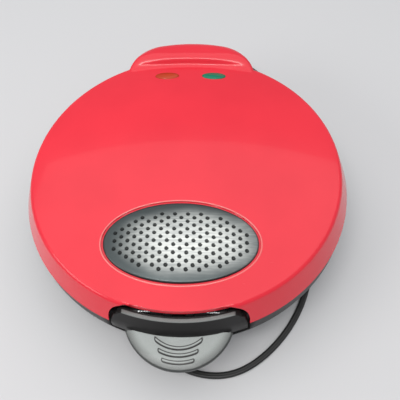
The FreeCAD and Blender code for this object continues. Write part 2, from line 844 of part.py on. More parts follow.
def lid_liner():
    """Black ring under the lid, round the upper plate, with the hinge knuckles and the latch pin's ears."""
    outer = side_radius(liner_back_z, casing_wall) - frame_shell_clearance
    rear = rear_flat_reach - rear_relief
    ring_part = to_lid(plate_frame(outer, rear))
    half = latch_half_width + notch_side_gap + notch_return + 2 * frame_shell_clearance
    ring_part = ring_part.cut(front_clear(latch_cavity_reach, half))
    face = 2 * parting_z - frame_face_z
    pieces = [ring_part]
    arm_points = [
        (collar_radius + frame_collar / 2, face),
        (collar_radius + frame_collar / 2, hinge_z + hinge_barrel_radius / 2),
        (hinge_reach, hinge_z + hinge_barrel_radius),
        (hinge_reach, face),
    ]
    knuckle_end = hinge_ear_start - hinge_side_play
    for start_x in (knuckle_end - hinge_knuckle_width, -knuckle_end):
        pieces.append(hinge_profile(arm_points, start_x, hinge_knuckle_width))
    ear_back = collar_radius + frame_collar / 2
    inner, outer_x = latch_ear_span
    for start_x in (inner, -outer_x):
        stem = block(
            (start_x, -latch_pin_reach, liner_back_z - frame_lip / 2),
            (start_x + outer_x - inner, -ear_back, latch_pin_z),
        )
        eye = cross_rod(latch_ear_radius, start_x, start_x + outer_x - inner, -latch_pin_reach, latch_pin_z)
        pieces += [stem, eye]
    clip_z = hinge_z + 2 * lead_bend
    clip_y = hinge_reach - 3 * lead_bend
    clip_low = (lead_reach - 2 * lead_radius, clip_y, face)
    clip_high = (lead_reach + 2 * lead_radius, clip_y + casing_wall, clip_z + 2 * lead_radius)
    pieces.append(block(clip_low, clip_high))
    liner = joined(pieces)
    liner = liner.cut(rear_rod(lead_radius, clip_y - 1, clip_y + casing_wall + 1, lead_reach, clip_z))
    liner = liner.cut(
        cross_rod(hinge_pin_radius + running_clearance, -far, far, hinge_reach, hinge_z)
    )
    liner = liner.cut(cross_rod(latch_pin_radius, -far, far, -latch_pin_reach, latch_pin_z))
    for x, y in casing_screw_places():
        liner = liner.cut(rod(screw_radius + screw_hole_clearance, below, above, x, y))
        liner = liner.cut(rod(screw_head_radius + screw_head_clearance, below, face + lid_counterbore, x, y))
    return liner


def base_shell():
    """Black bowl of the base, with the latch pocket, feet, bosses, vents, hinge ears and cord boss."""
    outer = base_form(0.0, base_rim_z)
    hollow = base_form(casing_wall, base_rim_z + 1)
    half = latch_half_width + pocket_side_gap
    pocket = front_clear(pocket_radius, half).common(block((-far, -far, pocket_floor_z), (far, far, above)))
    walls = front_clear(pocket_radius - casing_wall, half + casing_wall)
    walls = walls.common(block((-far, -far, pocket_floor_z - casing_wall), (far, far, above)))
    shell = outer.cut(pocket).cut(hollow.cut(walls))
    boss_top = flange_top_z - casing_post_length
    solid = base_form(0.0, base_rim_z)
    added = [shell]
    for x, y in casing_screw_places():
        added.append(rod(casing_boss_radius, foot_height, boss_top, x, y).common(solid))
    leg_low = foot_pad_height - foot_pad_seat
    for quarter in range(4):
        x, y = polar(foot_circle, 45.0 + 90.0 * quarter)
        added.append(rod(foot_radius, leg_low, foot_height + casing_wall / 2, x, y))
    wall_y = rear_flat_reach - casing_wall / 2
    tangent = radians(-40.0)
    ear_points = [
        (wall_y, hinge_z - hinge_ear_drop),
        (wall_y, base_rim_z - frame_shell_clearance),
        (hinge_reach, hinge_z),
        (hinge_reach + hinge_barrel_radius * cos(tangent), hinge_z + hinge_barrel_radius * sin(tangent)),
    ]
    for start_x in (hinge_ear_start, -hinge_ear_start - hinge_ear_width):
        added.append(hinge_profile(ear_points, start_x, hinge_ear_width))
    inner_y = gland_face_y - gland_inner_lip - casing_wall
    added.append(rear_rod(gland_boss_radius, inner_y, gland_face_y, gland_x, gland_height))
    shell = joined(added)
    for x, y in casing_screw_places():
        shell = shell.cut(rod(screw_head_radius + screw_head_clearance, below, boss_top - boss_cap, x, y))
        shell = shell.cut(rod(screw_radius + screw_hole_clearance, below, boss_top + 1, x, y))
    for quarter in range(4):
        x, y = polar(foot_circle, 45.0 + 90.0 * quarter)
        shell = shell.cut(rod(foot_pad_radius + foot_pad_clearance, below, foot_pad_height, x, y))
    for number in range(vent_count):
        slot = block(
            (vent_circle - vent_length / 2, -vent_width / 2, below),
            (vent_circle + vent_length / 2, vent_width / 2, foot_height + casing_wall + 1),
        )
        slot.rotate(Vector(0, 0, 0), Vector(0, 0, 1), 360.0 * number / vent_count)
        shell = shell.cut(slot)
    shell = shell.cut(cross_rod(hinge_pin_radius, -far, far, hinge_reach, hinge_z))
    shell = shell.cut(rear_rod(gland_bore_radius, inner_y - 1, far, gland_x, gland_height))
    lead_hole = rear_rod(lead_radius, rear_flat_reach - 2 * casing_wall, far, -lead_reach, lead_z())
    return shell.cut(lead_hole)


def lead_z():
    """Height where the lid's lead leaves the base."""
    return hinge_z - 2 * lead_bend


def hinge_pins():
    """Two steel hinge pins, fixed in the base's ears."""
    inner = hinge_ear_start - hinge_side_play - hinge_knuckle_width
    outer = hinge_ear_start + hinge_ear_width
    pins = [
        cross_rod(hinge_pin_radius, inner, outer, hinge_reach, hinge_z),
        cross_rod(hinge_pin_radius, -outer, -inner, hinge_reach, hinge_z),
    ]
    return Part.makeCompound(pins)


def rounded_route(points, share=0.45):
    """Wire of straight runs joined by tangent arcs as large as the runs allow, and the arcs' radii."""
    spots = [Vector(*p) for p in points]
    edges = []
    radii = []
    last = spots[0]
    for before, corner, after in zip(spots, spots[1:], spots[2:]):
        back = (before - corner).normalize()
        ahead = (after - corner).normalize()
        turn = pi - back.getAngle(ahead)
        trim = share * min((before - corner).Length, (after - corner).Length)
        radius = trim / tan(turn / 2)
        start = corner + back * trim
        end = corner + ahead * trim
        inward = (back + ahead).normalize()
        middle = corner + inward * (radius / cos(turn / 2) - radius)
        edges.append(line(last, start))
        edges.append(arc(start, middle, end))
        radii.append(radius)
        last = end
    edges.append(line(last, spots[-1]))
    return Part.Wire(edges), radii


def tube_along(wire, radius):
    """Round tube that follows a wire."""
    start = wire.OrderedVertexes[0].Point
    first = wire.OrderedEdges[0]
    heading = first.tangentAt(first.FirstParameter)
    if (first.valueAt(first.FirstParameter) - start).Length > 0.001:
        heading = first.tangentAt(first.LastParameter) * -1
    section = Part.Wire(Part.Circle(start, heading, radius).toShape())
    return wire.makePipeShell([section], True, False)


def supply_lead():
    """Sleeved lead from the base up to the hinge line, where it turns along the axis."""
    route = [
        (-lead_reach, rear_flat_reach - 3 * casing_wall, lead_z()),
        (-lead_reach, hinge_reach, lead_z()),
        (-lead_reach, hinge_reach, hinge_z),
        (0.0, hinge_reach, hinge_z),
    ]
    wire, _ = rounded_route(route)
    return tube_along(wire, lead_radius)


def lid_lead():
    """Sleeved lead that goes on from the hinge line into the lid."""
    route = [
        (0.0, hinge_reach, hinge_z),
        (lead_reach, hinge_reach, hinge_z),
        (lead_reach, hinge_reach, hinge_z + 2 * lead_bend),
        (lead_reach, hinge_reach - 3 * lead_bend, hinge_z + 2 * lead_bend),
    ]
    wire, _ = rounded_route(route)
    return tube_along(wire, lead_radius)


def tab_top(y):
    """Height of the thumb tab's upper face."""
    return lid_rim_z + tab_root_rise + (y + lid_rim_radius) * tan(radians(tab_slope_angle))


def tab_layer(over, under):
    """Sloping layer between two heights off the tab's upper face."""
    near = -lid_rim_radius + latch_thickness
    tip = -tab_reach - 5
    points = [
        (near, tab_top(near) + over),
        (tip, tab_top(tip) + over),
        (tip, tab_top(tip) + under),
        (near, tab_top(near) + under),
    ]
    return across_profile(points, far)


def latch():
    """Thumb latch: band that closes the notch, ribbed tab, hook, and knuckles on its pin."""
    inner = latch_thickness
    profile = [
        Vector(side_radius(latch_top_z), 0, latch_top_z),
        Vector(lid_rim_radius, 0, lid_rim_z),
        Vector(lid_rim_radius, 0, latch_bottom_z),
        Vector(lid_rim_radius - inner, 0, latch_bottom_z),
        Vector(lid_rim_radius - inner, 0, lid_rim_z),
        Vector(side_radius(latch_top_z) - inner, 0, latch_top_z),
    ]
    band = turned(polygon(profile))
    front = block((-latch_half_width, -far, below), (latch_half_width, 0, latch_top_z + 1))
    sides = []
    for edge in front.Edges:
        box = edge.BoundBox
        if box.ZMin > latch_top_z and box.XLength < 0.01:
            sides.append(edge)
    band = band.common(front.makeFillet(latch_corner_radius, sides))
    disc = rod(tab_radius, below, above, 0, tab_centre_y)
    tab = disc.common(tab_layer(0.0, -tab_thickness))
    rim = [e for e in tab.Edges if e.BoundBox.XLength > 2 * latch_corner_radius and e.BoundBox.YLength > 5]
    tab = tab.makeFillet(tab_edge_round, rim)
    tab = tab.cut(rod(lid_rim_radius - inner / 2, below, above))
    pieces = [band, tab]
    for number, half in enumerate(rib_half_widths):
        middle = rib_first_radius + number * rib_step
        hoop = rod(middle + rib_width / 2, below, above, 0, tab_centre_y)
        hoop = hoop.cut(rod(middle - rib_width / 2, below - 1, above + 1, 0, tab_centre_y))
        stretch = hoop.common(block((-half, -far, below), (half, tab_centre_y, above)))
        pieces.append(stretch.common(tab_layer(rib_height, -tab_thickness / 2)))
    pieces.append(
        front_sector(
            lid_rim_radius - inner,
            lid_rim_radius - inner / 3,
            hook_bottom_z,
            latch_bottom_z + 1,
            hook_half_width,
        )
    )
    pieces.append(
        front_sector(
            hook_tip_radius,
            lid_rim_radius - inner / 3,
            hook_bottom_z,
            hook_bottom_z + hook_barb_height,
            hook_half_width,
        )
    )
    for low, high in (latch_inner_knuckle_span, latch_outer_knuckle_span):
        for start_x in (low, -high):
            width = high - low
            reach = sqrt((side_radius(latch_pin_z) - inner / 2) ** 2 - high**2)
            arm = block(
                (start_x, -reach, latch_pin_z - latch_knuckle_radius),
                (start_x + width, -latch_pin_reach, latch_pin_z + latch_knuckle_radius / 2),
            )
            knuckle = cross_rod(latch_knuckle_radius, start_x, start_x + width, -latch_pin_reach, latch_pin_z)
            pieces += [arm, knuckle]
    body = joined(pieces)
    return body.cut(
        cross_rod(latch_pin_radius + running_clearance, -far, far, -latch_pin_reach, latch_pin_z)
    )


def latch_pin():
    """Steel pin that the latch turns on, fixed in the liner's ears."""
    return cross_rod(
        latch_pin_radius, -latch_pin_half_length, latch_pin_half_length, -latch_pin_reach, latch_pin_z
    )


def latch_catch():
    """Strike plate in the base's pocket, in front of the latch's hook."""
    low = hook_bottom_z + hook_barb_height + catch_clearance
    return front_sector(pocket_radius, catch_face_radius, low, low + catch_height, catch_half_width)


def latch_spring(start_x, end_x):
    """Torsion spring: open turns of wire wound on the latch pin."""
    pitch = (end_x - start_x) / spring_turns
    steps = 4 * spring_turns

    def place(turns):
        angle = 2 * pi * turns - pi / 2
        y = -latch_pin_reach + spring_mean_radius * cos(angle)
        z = latch_pin_z + spring_mean_radius * sin(angle)
        return Vector(start_x + pitch * turns, y, z)

    edges = []
    for step in range(steps):
        edges.append(arc(place(step / 4), place((step + 0.5) / 4), place((step + 1) / 4)))
    first = edges[0].tangentAt(edges[0].FirstParameter)
    section = Part.Wire(Part.Circle(place(0), first, spring_wire_radius).toShape())
    turn = 48
    spots = [place(i / turn) for i in range(turn * spring_turns + 1)]
    gaps = [(a - b).Length for i, a in enumerate(spots) for b in spots[i + turn // 2 :]]
    print("spring least gap", round(min(gaps) - 2 * spring_wire_radius, 2))
    return Part.Wire(edges).makePipeShell([section], True, False)


def foot_pads():
    """Four rubber pads under the feet."""
    pads = []
    for quarter in range(4):
        x, y = polar(foot_circle, 45.0 + 90.0 * quarter)
        pad = rod(foot_pad_radius, 0, foot_pad_height, x, y)
        rim = [e for e in pad.Edges if e.BoundBox.ZMax < 0.01]
        pads.append(pad.makeFillet(foot_pad_seat / 2, rim))
    return Part.makeCompound(pads)


def base_screws():
    """Screws up through the base's bosses into the bezel."""
    seat = flange_top_z - casing_post_length - boss_cap
    screws = []
    for x, y in casing_screw_places():
        length = boss_cap + screw_grip
        screws.append(pan_screw(x, y, seat, screw_head_radius, screw_head_height, screw_radius, length))
    return Part.makeCompound(screws)


def lid_screws():
    """Screws up through the liner into the lid's bosses, and one that holds the lamp tray."""
    seat = 2 * parting_z - frame_face_z + lid_counterbore
    screws = []
    for x, y in casing_screw_places():
        length = liner_back_z - seat + screw_grip
        head = min(screw_head_height, lid_counterbore)
        screws.append(pan_screw(x, y, seat, screw_head_radius, head, screw_radius, length))
    tray = holder_seat_z() - holder_thickness
    length = holder_thickness + screw_grip / 2
    screws.append(pan_screw(0, lens_reach, tray, screw_head_radius, screw_head_height, screw_radius, length))
    return Part.makeCompound(screws)


def thermostat():
    """Bimetal thermostat on the middle of the lower plate's back, with two terminal blades."""
    body = rod(thermostat_radius, plate_back_z - thermostat_height, plate_back_z)
    rim = [e for e in body.Edges if e.BoundBox.ZMax < plate_back_z - thermostat_height / 2]
    pieces = [body.makeFillet(thermostat_height * 0.15, rim)]
    width, thick, long = thermostat_blade
    for side in (-1, 1):
        x = side * thermostat_blade_offset
        low = plate_back_z - thermostat_height - long
        pieces.append(block((x - thick / 2, -width / 2, low), (x + thick / 2, width / 2, low + long + 1)))
    return joined(pieces)


def thermal_fuse():
    """Small round fuse that lies against the lower plate's back."""
    z = plate_back_z - fuse_radius
    return cross_rod(fuse_radius, -fuse_length / 2, fuse_length / 2, fuse_offset, z)


def terminal_block():
    """Screw terminals on the base's floor, with an open wire way at each pole."""
    long, wide, high = terminal_block_size
    x, y = terminal_block_place
    floor = foot_height + casing_wall
    body = block((x - long / 2, y - wide / 2, floor), (x + long / 2, y + wide / 2, floor + high))
    for pole in (-1, 0, 1):
        way = rear_rod(high / 4, y - wide, y + wide, x + pole * long / 3, floor + high / 3)
        body = body.cut(way)
        body = body.cut(rod(high / 5, floor + high * 0.6, above, x + pole * long / 3, y))
    return body


def strain_relief():
    """Tapered sleeve where the cord leaves the base, with bending grooves."""
    flange_end = gland_face_y + gland_flange_thickness
    neck_radius = gland_bore_radius - foot_pad_clearance
    neck_start = gland_face_y - gland_inner_lip - casing_wall
    neck = rear_rod(neck_radius, neck_start, flange_end, gland_x, gland_height)
    flange = rear_rod(gland_flange_radius, gland_face_y, flange_end, gland_x, gland_height)
    taper = Part.makeCone(
        neck_radius,
        gland_tip_radius,
        gland_taper_length,
        Vector(gland_x, flange_end, gland_height),
        Vector(0, 1, 0),
    )
    sleeve = joined([neck, flange, taper])
    grooves = 4
    step = gland_taper_length / (grooves + 1)
    for number in range(grooves):
        start = flange_end + (number + 0.7) * step
        hoop = rear_rod(gland_flange_radius, start, start + step / 3, gland_x, gland_height)
        core = rear_rod(gland_tip_radius - 0.4, start - 1, start + step, gland_x, gland_height)
        sides = block(
            (gland_x - far, start, gland_height - 1.2),
            (gland_x + far, start + step / 3, gland_height + 1.2),
        )
        sleeve = sleeve.cut(hoop.cut(core).cut(sides))
    return sleeve


def power_cord():
    """Free stretch of the cord, from the strain relief to the plug."""
    wire, radii = rounded_route(cord_route)
    tube = tube_along(wire, cord_diameter / 2)
    expected = pi * (cord_diameter / 2) ** 2 * wire.Length
    print("cord length", round(wire.Length, 1), "volume share", round(tube.Volume / expected, 4))
    print("cord radii", [round(r, 1) for r in radii])
    return tube


def plug_frame():
    """Where the cord meets the plug, and the level heading that the plug lies along."""
    end = Vector(*cord_route[-1])
    before = Vector(*cord_route[-2])
    heading = Vector(end.x - before.x, end.y - before.y, 0).normalize()
    return end, heading, Vector(heading.y, -heading.x, 0)


def laid(shape):
    """Piece drawn along +Y from the origin, laid at the end of the cord."""
    end, heading, _ = plug_frame()
    angle = degrees(heading.getAngle(Vector(0, 1, 0)))
    shape.rotate(Vector(0, 0, 0), Vector(0, 0, 1), angle if heading.x < 0 else -angle)
    shape.translate(end)
    return shape


def plug_body():
    """Moulded flat plug, narrow where the cord enters and square at its face."""
    half = plug_width / 2
    nose = plug_nose_width / 2
    thick = plug_thickness / 2
    waist = plug_length * 0.45
    outline = [
        Vector(-nose, 0, -thick),
        Vector(nose, 0, -thick),
        Vector(nose, waist, -thick),
        Vector(half, plug_length * 0.7, -thick),
        Vector(half, plug_length, -thick),
        Vector(-half, plug_length, -thick),
        Vector(-half, plug_length * 0.7, -thick),
        Vector(-nose, waist, -thick),
    ]
    body = polygon(outline).extrude(Vector(0, 0, plug_thickness))
    long_edges = [e for e in body.Edges if e.BoundBox.ZLength < 0.01 and e.BoundBox.YLength > 1]
    return laid(body.makeFillet(plug_thickness * 0.25, long_edges))


def plug_blades():
    """Two flat blades that stand out of the plug's face."""
    blades = []
    for side in (-1, 1):
        x = side * blade_spacing / 2
        blade = block(
            (x - blade_thickness / 2, plug_length, -blade_width / 2),
            (x + blade_thickness / 2, plug_length + blade_length, blade_width / 2),
        )
        tips = [e for e in blade.Edges if e.BoundBox.YMin > plug_length + 1 and e.BoundBox.XLength > 0.5]
        blades.append(laid(blade.makeFillet(blade_thickness * 0.4, tips)))
    return Part.makeCompound(blades)


left_lens, right_lens = lens_places()
spring_low, spring_high = spring_span
pieces = {
    "base_shell": base_shell,
    "base_bezel": base_bezel,
    "lower_plate": cooking_plate,
    "lower_heater": heater,
    "lower_shield": heat_shield,
    "lower_shield_screws": shield_screws,
    "lower_plate_screws": plate_screws,
    "thermostat": thermostat,
    "thermal_fuse": thermal_fuse,
    "terminal_block": terminal_block,
    "foot_pads": foot_pads,
    "base_screws": base_screws,
    "hinge_pins": hinge_pins,
    "supply_lead": supply_lead,
    "latch_catch": latch_catch,
    "strain_relief": strain_relief,
    "power_cord": power_cord,
    "plug_body": plug_body,
    "plug_blades": plug_blades,
    "lid_cover": lid_cover,
    "lid_liner": lid_liner,
    "upper_plate": lambda: to_lid(cooking_plate()),
    "upper_heater": lambda: to_lid(heater()),
    "upper_shield": lambda: to_lid(heat_shield()),
    "upper_shield_screws": lambda: to_lid(shield_screws()),
    "upper_plate_screws": lambda: to_lid(plate_screws()),
    "lid_screws": lid_screws,
    "oval_plate": oval_plate,
    "power_lens": lambda: lens(*left_lens),
    "ready_lens": lambda: lens(*right_lens),
    "power_lamp": lambda: lamp(*left_lens),
    "ready_lamp": lambda: lamp(*right_lens),
    "lamp_holder": lamp_holder,
    "lid_lead": lid_lead,
    "latch_pin": latch_pin,
    "latch_springs": lambda: Part.makeCompound(
        [latch_spring(spring_low, spring_high), latch_spring(-spring_high, -spring_low)]
    ),
    "latch": latch,
}
for name, make in pieces.items():
    shape = make()
    shape.translate(Vector(0, axis_shift, 0))
    shape.exportStep("parts/" + name + ".step")
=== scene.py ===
"""Looks of a round countertop donut maker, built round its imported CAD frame."""

import json
import logging
import math
from dataclasses import dataclass
from enum import Enum
from typing import Callable, Optional, Sequence, Union

import bmesh
import bpy
import numpy as np
from mathutils import Matrix, Vector
from mathutils.geometry import delaunay_2d_cdt


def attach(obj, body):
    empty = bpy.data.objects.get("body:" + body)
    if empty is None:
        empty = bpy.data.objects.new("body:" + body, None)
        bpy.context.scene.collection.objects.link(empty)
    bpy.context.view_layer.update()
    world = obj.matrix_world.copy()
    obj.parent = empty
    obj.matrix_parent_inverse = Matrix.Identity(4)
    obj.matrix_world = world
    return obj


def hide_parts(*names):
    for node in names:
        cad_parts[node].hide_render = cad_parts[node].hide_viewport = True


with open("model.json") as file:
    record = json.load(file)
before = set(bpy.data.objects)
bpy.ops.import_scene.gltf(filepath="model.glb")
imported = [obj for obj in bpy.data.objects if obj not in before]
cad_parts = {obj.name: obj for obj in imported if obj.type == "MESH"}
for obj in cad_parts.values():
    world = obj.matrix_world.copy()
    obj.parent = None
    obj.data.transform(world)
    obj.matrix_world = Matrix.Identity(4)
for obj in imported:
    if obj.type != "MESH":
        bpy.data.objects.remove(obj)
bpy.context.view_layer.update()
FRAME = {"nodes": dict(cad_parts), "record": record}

LOG = logging.getLogger("donut_maker")
MM = 0.001
# The lid's axis stands this many millimetres to the rear of the frame's origin.
AXIS_Y = 6.5
# Corners closer than WELD metres are joined, and edges shorter than SLIVER are dropped.
WELD = 2e-6
SLIVER = 1e-6
# How far broad faces lead the shading normals: 50 is neutral and 100 the most.
AREA_WEIGHT = 100
# Faces whose normals agree to FLAT_DIGITS make a flat, broad from FLAT_SHARE of the whole area.
FLAT_DIGITS = 3
FLAT_SHARE = 0.015
# The oval plate's outline and how far its middle lies in front of the axis, in millimetres.
OVAL_HALF_LENGTH = 52.0
OVAL_HALF_WIDTH = 28.5
OVAL_REACH = 65.0
# Sockets of the Mix node that carry colours, and what delaunay_2d_cdt keeps.
MIX_FIRST, MIX_SECOND, MIX_RESULT = 6, 7, 2
TRIANGLES_INSIDE = 1

Colour = tuple[float, float, float]
Place = tuple[float, float, float]
Range = tuple[float, float]
Numbers = Union[float, np.ndarray]
Finishes = dict[str, bpy.types.Material]
MeshChange = Callable[[bpy.types.Mesh], None]
NormalRule = Callable[[np.ndarray, np.ndarray, np.ndarray], np.ndarray]


class Body(Enum):
    """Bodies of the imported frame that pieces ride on."""

    BASE = "base"
    LID = "lid"
    LATCH = "latch"


class Signal:
    """A shader value that plain arithmetic can be written with."""

    def __init__(self, shader: "Shader", socket: bpy.types.NodeSocket) -> None:
        """Wrap one output socket.

        Args:
            shader: The material's node maker.
            socket: The output that carries the value.
        """
        self.shader = shader
        self.socket = socket

    def _math(self, operation: str, first: "Value", second: "Value" = 0.0) -> "Signal":
        """Join values by one Math node.

        Args:
            operation: The Math node's operation.
            first: First value.
            second: Second value.

        Returns:
            The result.
        """
        node = self.shader.node("ShaderNodeMath", {0: first, 1: second}, operation=operation)
        return Signal(self.shader, node.outputs[0])

    def __add__(self, other: "Value") -> "Signal":
        """Sum, in either order."""
        return self._math("ADD", self, other)

    __radd__ = __add__

    def __sub__(self, other: "Value") -> "Signal":
        """This value less another."""
        return self._math("SUBTRACT", self, other)

    def __rsub__(self, other: "Value") -> "Signal":
        """Another value less this one."""
        return self._math("SUBTRACT", other, self)

    def __mul__(self, other: "Value") -> "Signal":
        """Product, in either order."""
        return self._math("MULTIPLY", self, other)

    __rmul__ = __mul__

    def __truediv__(self, other: "Value") -> "Signal":
        """This value over another."""
        return self._math("DIVIDE", self, other)

    def __rtruediv__(self, other: "Value") -> "Signal":
        """Another value over this one."""
        return self._math("DIVIDE", other, self)

    def __pow__(self, other: "Value") -> "Signal":
        """This value raised to a power."""
        return self._math("POWER", self, other)

    def __rpow__(self, other: "Value") -> "Signal":
        """Another value raised to this one."""
        return self._math("POWER", other, self)

    def __neg__(self) -> "Signal":
        """The value with its sign turned."""
        return self._math("MULTIPLY", self, -1.0)

    def above(self, limit: "Value") -> "Signal":
        """1 where the value is over a limit, else 0."""
        return self._math("GREATER_THAN", self, limit)

    def sine(self) -> "Signal":
        """Sine of the value."""
        return self._math("SINE", self)

    def size(self) -> "Signal":
        """The value without its sign."""
        return self._math("ABSOLUTE", self)

    def greater(self, other: "Value") -> "Signal":
        """The larger of two values."""
        return self._math("MAXIMUM", self, other)

    def span(self, other: "Signal") -> "Signal":
        """Length of the line that two values at right angles make."""
        return (self * self + other * other) ** 0.5

    def step(self, low: float, high: float) -> "Signal":
        """Soft step from 0 at low to 1 at high.

        Args:
            low: Value that gives 0.
            high: Value that gives 1.

        Returns:
            The step, smooth at both ends.
        """
        inputs = {0: self, 1: low, 2: high, 3: 0.0, 4: 1.0}
        node = self.shader.node("ShaderNodeMapRange", inputs, interpolation_type="SMOOTHSTEP")
        return Signal(self.shader, node.outputs[0])


Value = Union[Signal, float]


class Shader:
    """Makes the nodes of one Principled material."""

    def __init__(self, name: str) -> None:
        """Start a material.

        Args:
            name: Name of the material.
        """
        self.material = bpy.data.materials.new(name)
        self.material.use_nodes = True
        self.tree = self.material.node_tree
        self.surface = self.tree.nodes["Principled BSDF"]
        self._where: Optional[bpy.types.NodeSocket] = None

    def node(
        self, kind: str, inputs: dict[Union[int, str], object], **settings: object
    ) -> bpy.types.Node:
        """Add a node.

        Args:
            kind: Node type.
            inputs: Values or signals by input index or name.
            settings: Properties of the node.

        Returns:
            The node.
        """
        made = self.tree.nodes.new(kind)
        for key, value in settings.items():
            setattr(made, key, value)
        for key, value in inputs.items():
            self.feed(made.inputs[key], value)
        return made

    def feed(self, target: bpy.types.NodeSocket, value: object) -> None:
        """Link or set an input.

        Args:
            target: The input socket.
            value: A signal, a socket, or a constant.
        """
        if isinstance(value, Signal):
            self.tree.links.new(value.socket, target)
        elif isinstance(value, bpy.types.NodeSocket):
            self.tree.links.new(value, target)
        else:
            target.default_value = value

    def where(self) -> bpy.types.NodeSocket:
        """Object coordinates, which are metres in the shared frame.

        Returns:
            The coordinates, from one node for the whole material.
        """
        if self._where is None:
            self._where = self.node("ShaderNodeTexCoord", {}).outputs["Object"]
        return self._where

    def axes(self) -> tuple[Signal, Signal, Signal]:
        """X, Y and Z of the object coordinates."""
        split = self.node("ShaderNodeSeparateXYZ", {0: self.where()})
        return tuple(Signal(self, s) for s in split.outputs)

    def stretched(self, scale: Sequence[float], turn: float = 0.0) -> bpy.types.NodeSocket:
        """Object coordinates scaled apart, for streaks.

        Args:
            scale: Factor along each axis.
            turn: Turn about Z in degrees.

        Returns:
            The coordinates.
        """
        rotation = (0.0, 0.0, math.radians(turn))
        inputs = {"Vector": self.where(), "Scale": tuple(scale), "Rotation": rotation}
        return self.node("ShaderNodeMapping", inputs).outputs[0]

    def noise(
        self, scale: float, detail: float, vector: Optional[bpy.types.NodeSocket] = None
    ) -> Signal:
        """Noise between 0 and 1.

        Args:
            scale: Waves per metre.
            detail: Octaves.
            vector: Coordinates, object coordinates by default.

        Returns:
            The noise value.
        """
        place = self.where() if vector is None else vector
        made = self.node("ShaderNodeTexNoise", {"Vector": place, "Scale": scale, "Detail": detail})
        return Signal(self, made.outputs[0])

    def attribute(self, name: str) -> Signal:
        """Value that the mesh itself carries, 0 where it has none."""
        made = self.node("ShaderNodeAttribute", {}, attribute_name=name)
        return Signal(self, made.outputs["Fac"])

    def mix(self, factor: Value, first: object, second: object) -> bpy.types.NodeSocket:
        """Blend two colours.

        Args:
            factor: Share of the second colour.
            first: Colour or colour socket.
            second: Colour or colour socket.

        Returns:
            The blended colour.
        """
        made = self.node("ShaderNodeMix", {0: factor}, data_type="RGBA")
        for index, value in ((MIX_FIRST, first), (MIX_SECOND, second)):
            self.feed(made.inputs[index], rgba(value) if isinstance(value, tuple) else value)
        return made.outputs[MIX_RESULT]

    def bump(self, height: Signal, distance: float, strength: float) -> None:
        """Give the surface a fine relief.

        Args:
            height: Relief between 0 and 1.
            distance: Depth of the relief in metres.
            strength: Share of the relief that shows.
        """
        inputs = {"Height": height, "Distance": distance, "Strength": strength}
        self.set(Normal=self.node("ShaderNodeBump", inputs).outputs[0])

    def set(self, **values: object) -> None:
        """Set or link inputs of the surface.

        Args:
            values: Input names with _ for spaces.
        """
        for key, value in values.items():
            self.feed(self.surface.inputs[key.replace("_", " ")], value)


def rgba(colour: Colour) -> tuple[float, float, float, float]:
    """Colour with full opacity."""
    return (*colour, 1.0)


@dataclass(frozen=True)
class Finish:
    """A moulded, cast or drawn surface: two close tones, uneven gloss and a fine grain."""

    slot: str
    colour: Colour
    shade: Colour
    roughness: float
    metallic: float = 0.0
    specular: float = 0.5
    coat: float = 0.0
    coat_roughness: float = 0.12
    tone_range: Range = (0.3, 0.7)
    mottle_scale: float = 30.0
    mottle_detail: float = 3.0
    gloss_spread: float = 0.1
    grain_scale: float = 1800.0
    grain_detail: float = 2.0
    grain_depth: float = 0.00004
    grain_strength: float = 0.25
    streak: Sequence[float] = (1.0, 1.0, 1.0)

    def make(self) -> bpy.types.Material:
        """Build the material.

        Returns:
            The material.
        """
        shader = Shader("finish_" + self.slot)
        mottle = shader.noise(self.mottle_scale, self.mottle_detail)
        grain = shader.noise(self.grain_scale, self.grain_detail, shader.stretched(self.streak))
        shader.set(Metallic=self.metallic, Specular_IOR_Level=self.specular)
        shader.set(Coat_Weight=self.coat, Coat_Roughness=self.coat_roughness)
        self.dress(shader, mottle, grain)
        return shader.material

    def dress(self, shader: Shader, mottle: Signal, grain: Signal) -> None:
        """Give the material its colour, gloss and relief.

        Args:
            shader: The material's node maker.
            mottle: Slow noise between 0 and 1.
            grain: Fine noise between 0 and 1.
        """
        shader.set(Base_Color=shader.mix(mottle.step(*self.tone_range), self.colour, self.shade))
        uneven = (mottle - 0.5) * self.gloss_spread + (grain - 0.5) * self.gloss_spread
        shader.set(Roughness=self.roughness + uneven)
        shader.bump(grain, self.grain_depth, self.grain_strength)


@dataclass(frozen=True)
class GlossyLid(Finish):
    """Glossy moulded lid with faint rub marks and a slight moulding ripple."""

    specular: float = 0.3
    coat_roughness: float = 0.06
    tone_range: Range = (0.25, 0.75)
    rub: Colour = (0.9, 0.25, 0.25)
    rub_scale: float = 90.0
    rub_detail: float = 6.0
    rub_streak: Sequence[float] = (1.0, 6.0, 1.0)
    rub_turn: float = 35.0
    rub_range: Range = (0.7, 0.78)
    rub_zone: Range = (0.55, 0.7)
    rub_tint: float = 0.12
    rub_dulling: float = 0.15

    def dress(self, shader: Shader, mottle: Signal, grain: Signal) -> None:
        """Give the material its colour, gloss and relief.

        Args:
            shader: The material's node maker.
            mottle: Slow noise between 0 and 1.
            grain: Fine noise between 0 and 1.
        """
        turned = shader.stretched(self.rub_streak, self.rub_turn)
        marks = shader.noise(self.rub_scale, self.rub_detail, turned)
        rubbed = marks.step(*self.rub_range) * mottle.step(*self.rub_zone)
        tone = shader.mix(mottle.step(*self.tone_range), self.colour, self.shade)
        shader.set(Base_Color=shader.mix(rubbed * self.rub_tint, tone, self.rub))
        uneven = (mottle - 0.5) * self.gloss_spread
        shader.set(Roughness=self.roughness + uneven + rubbed * self.rub_dulling)
        shader.bump(grain, self.grain_depth, self.grain_strength)


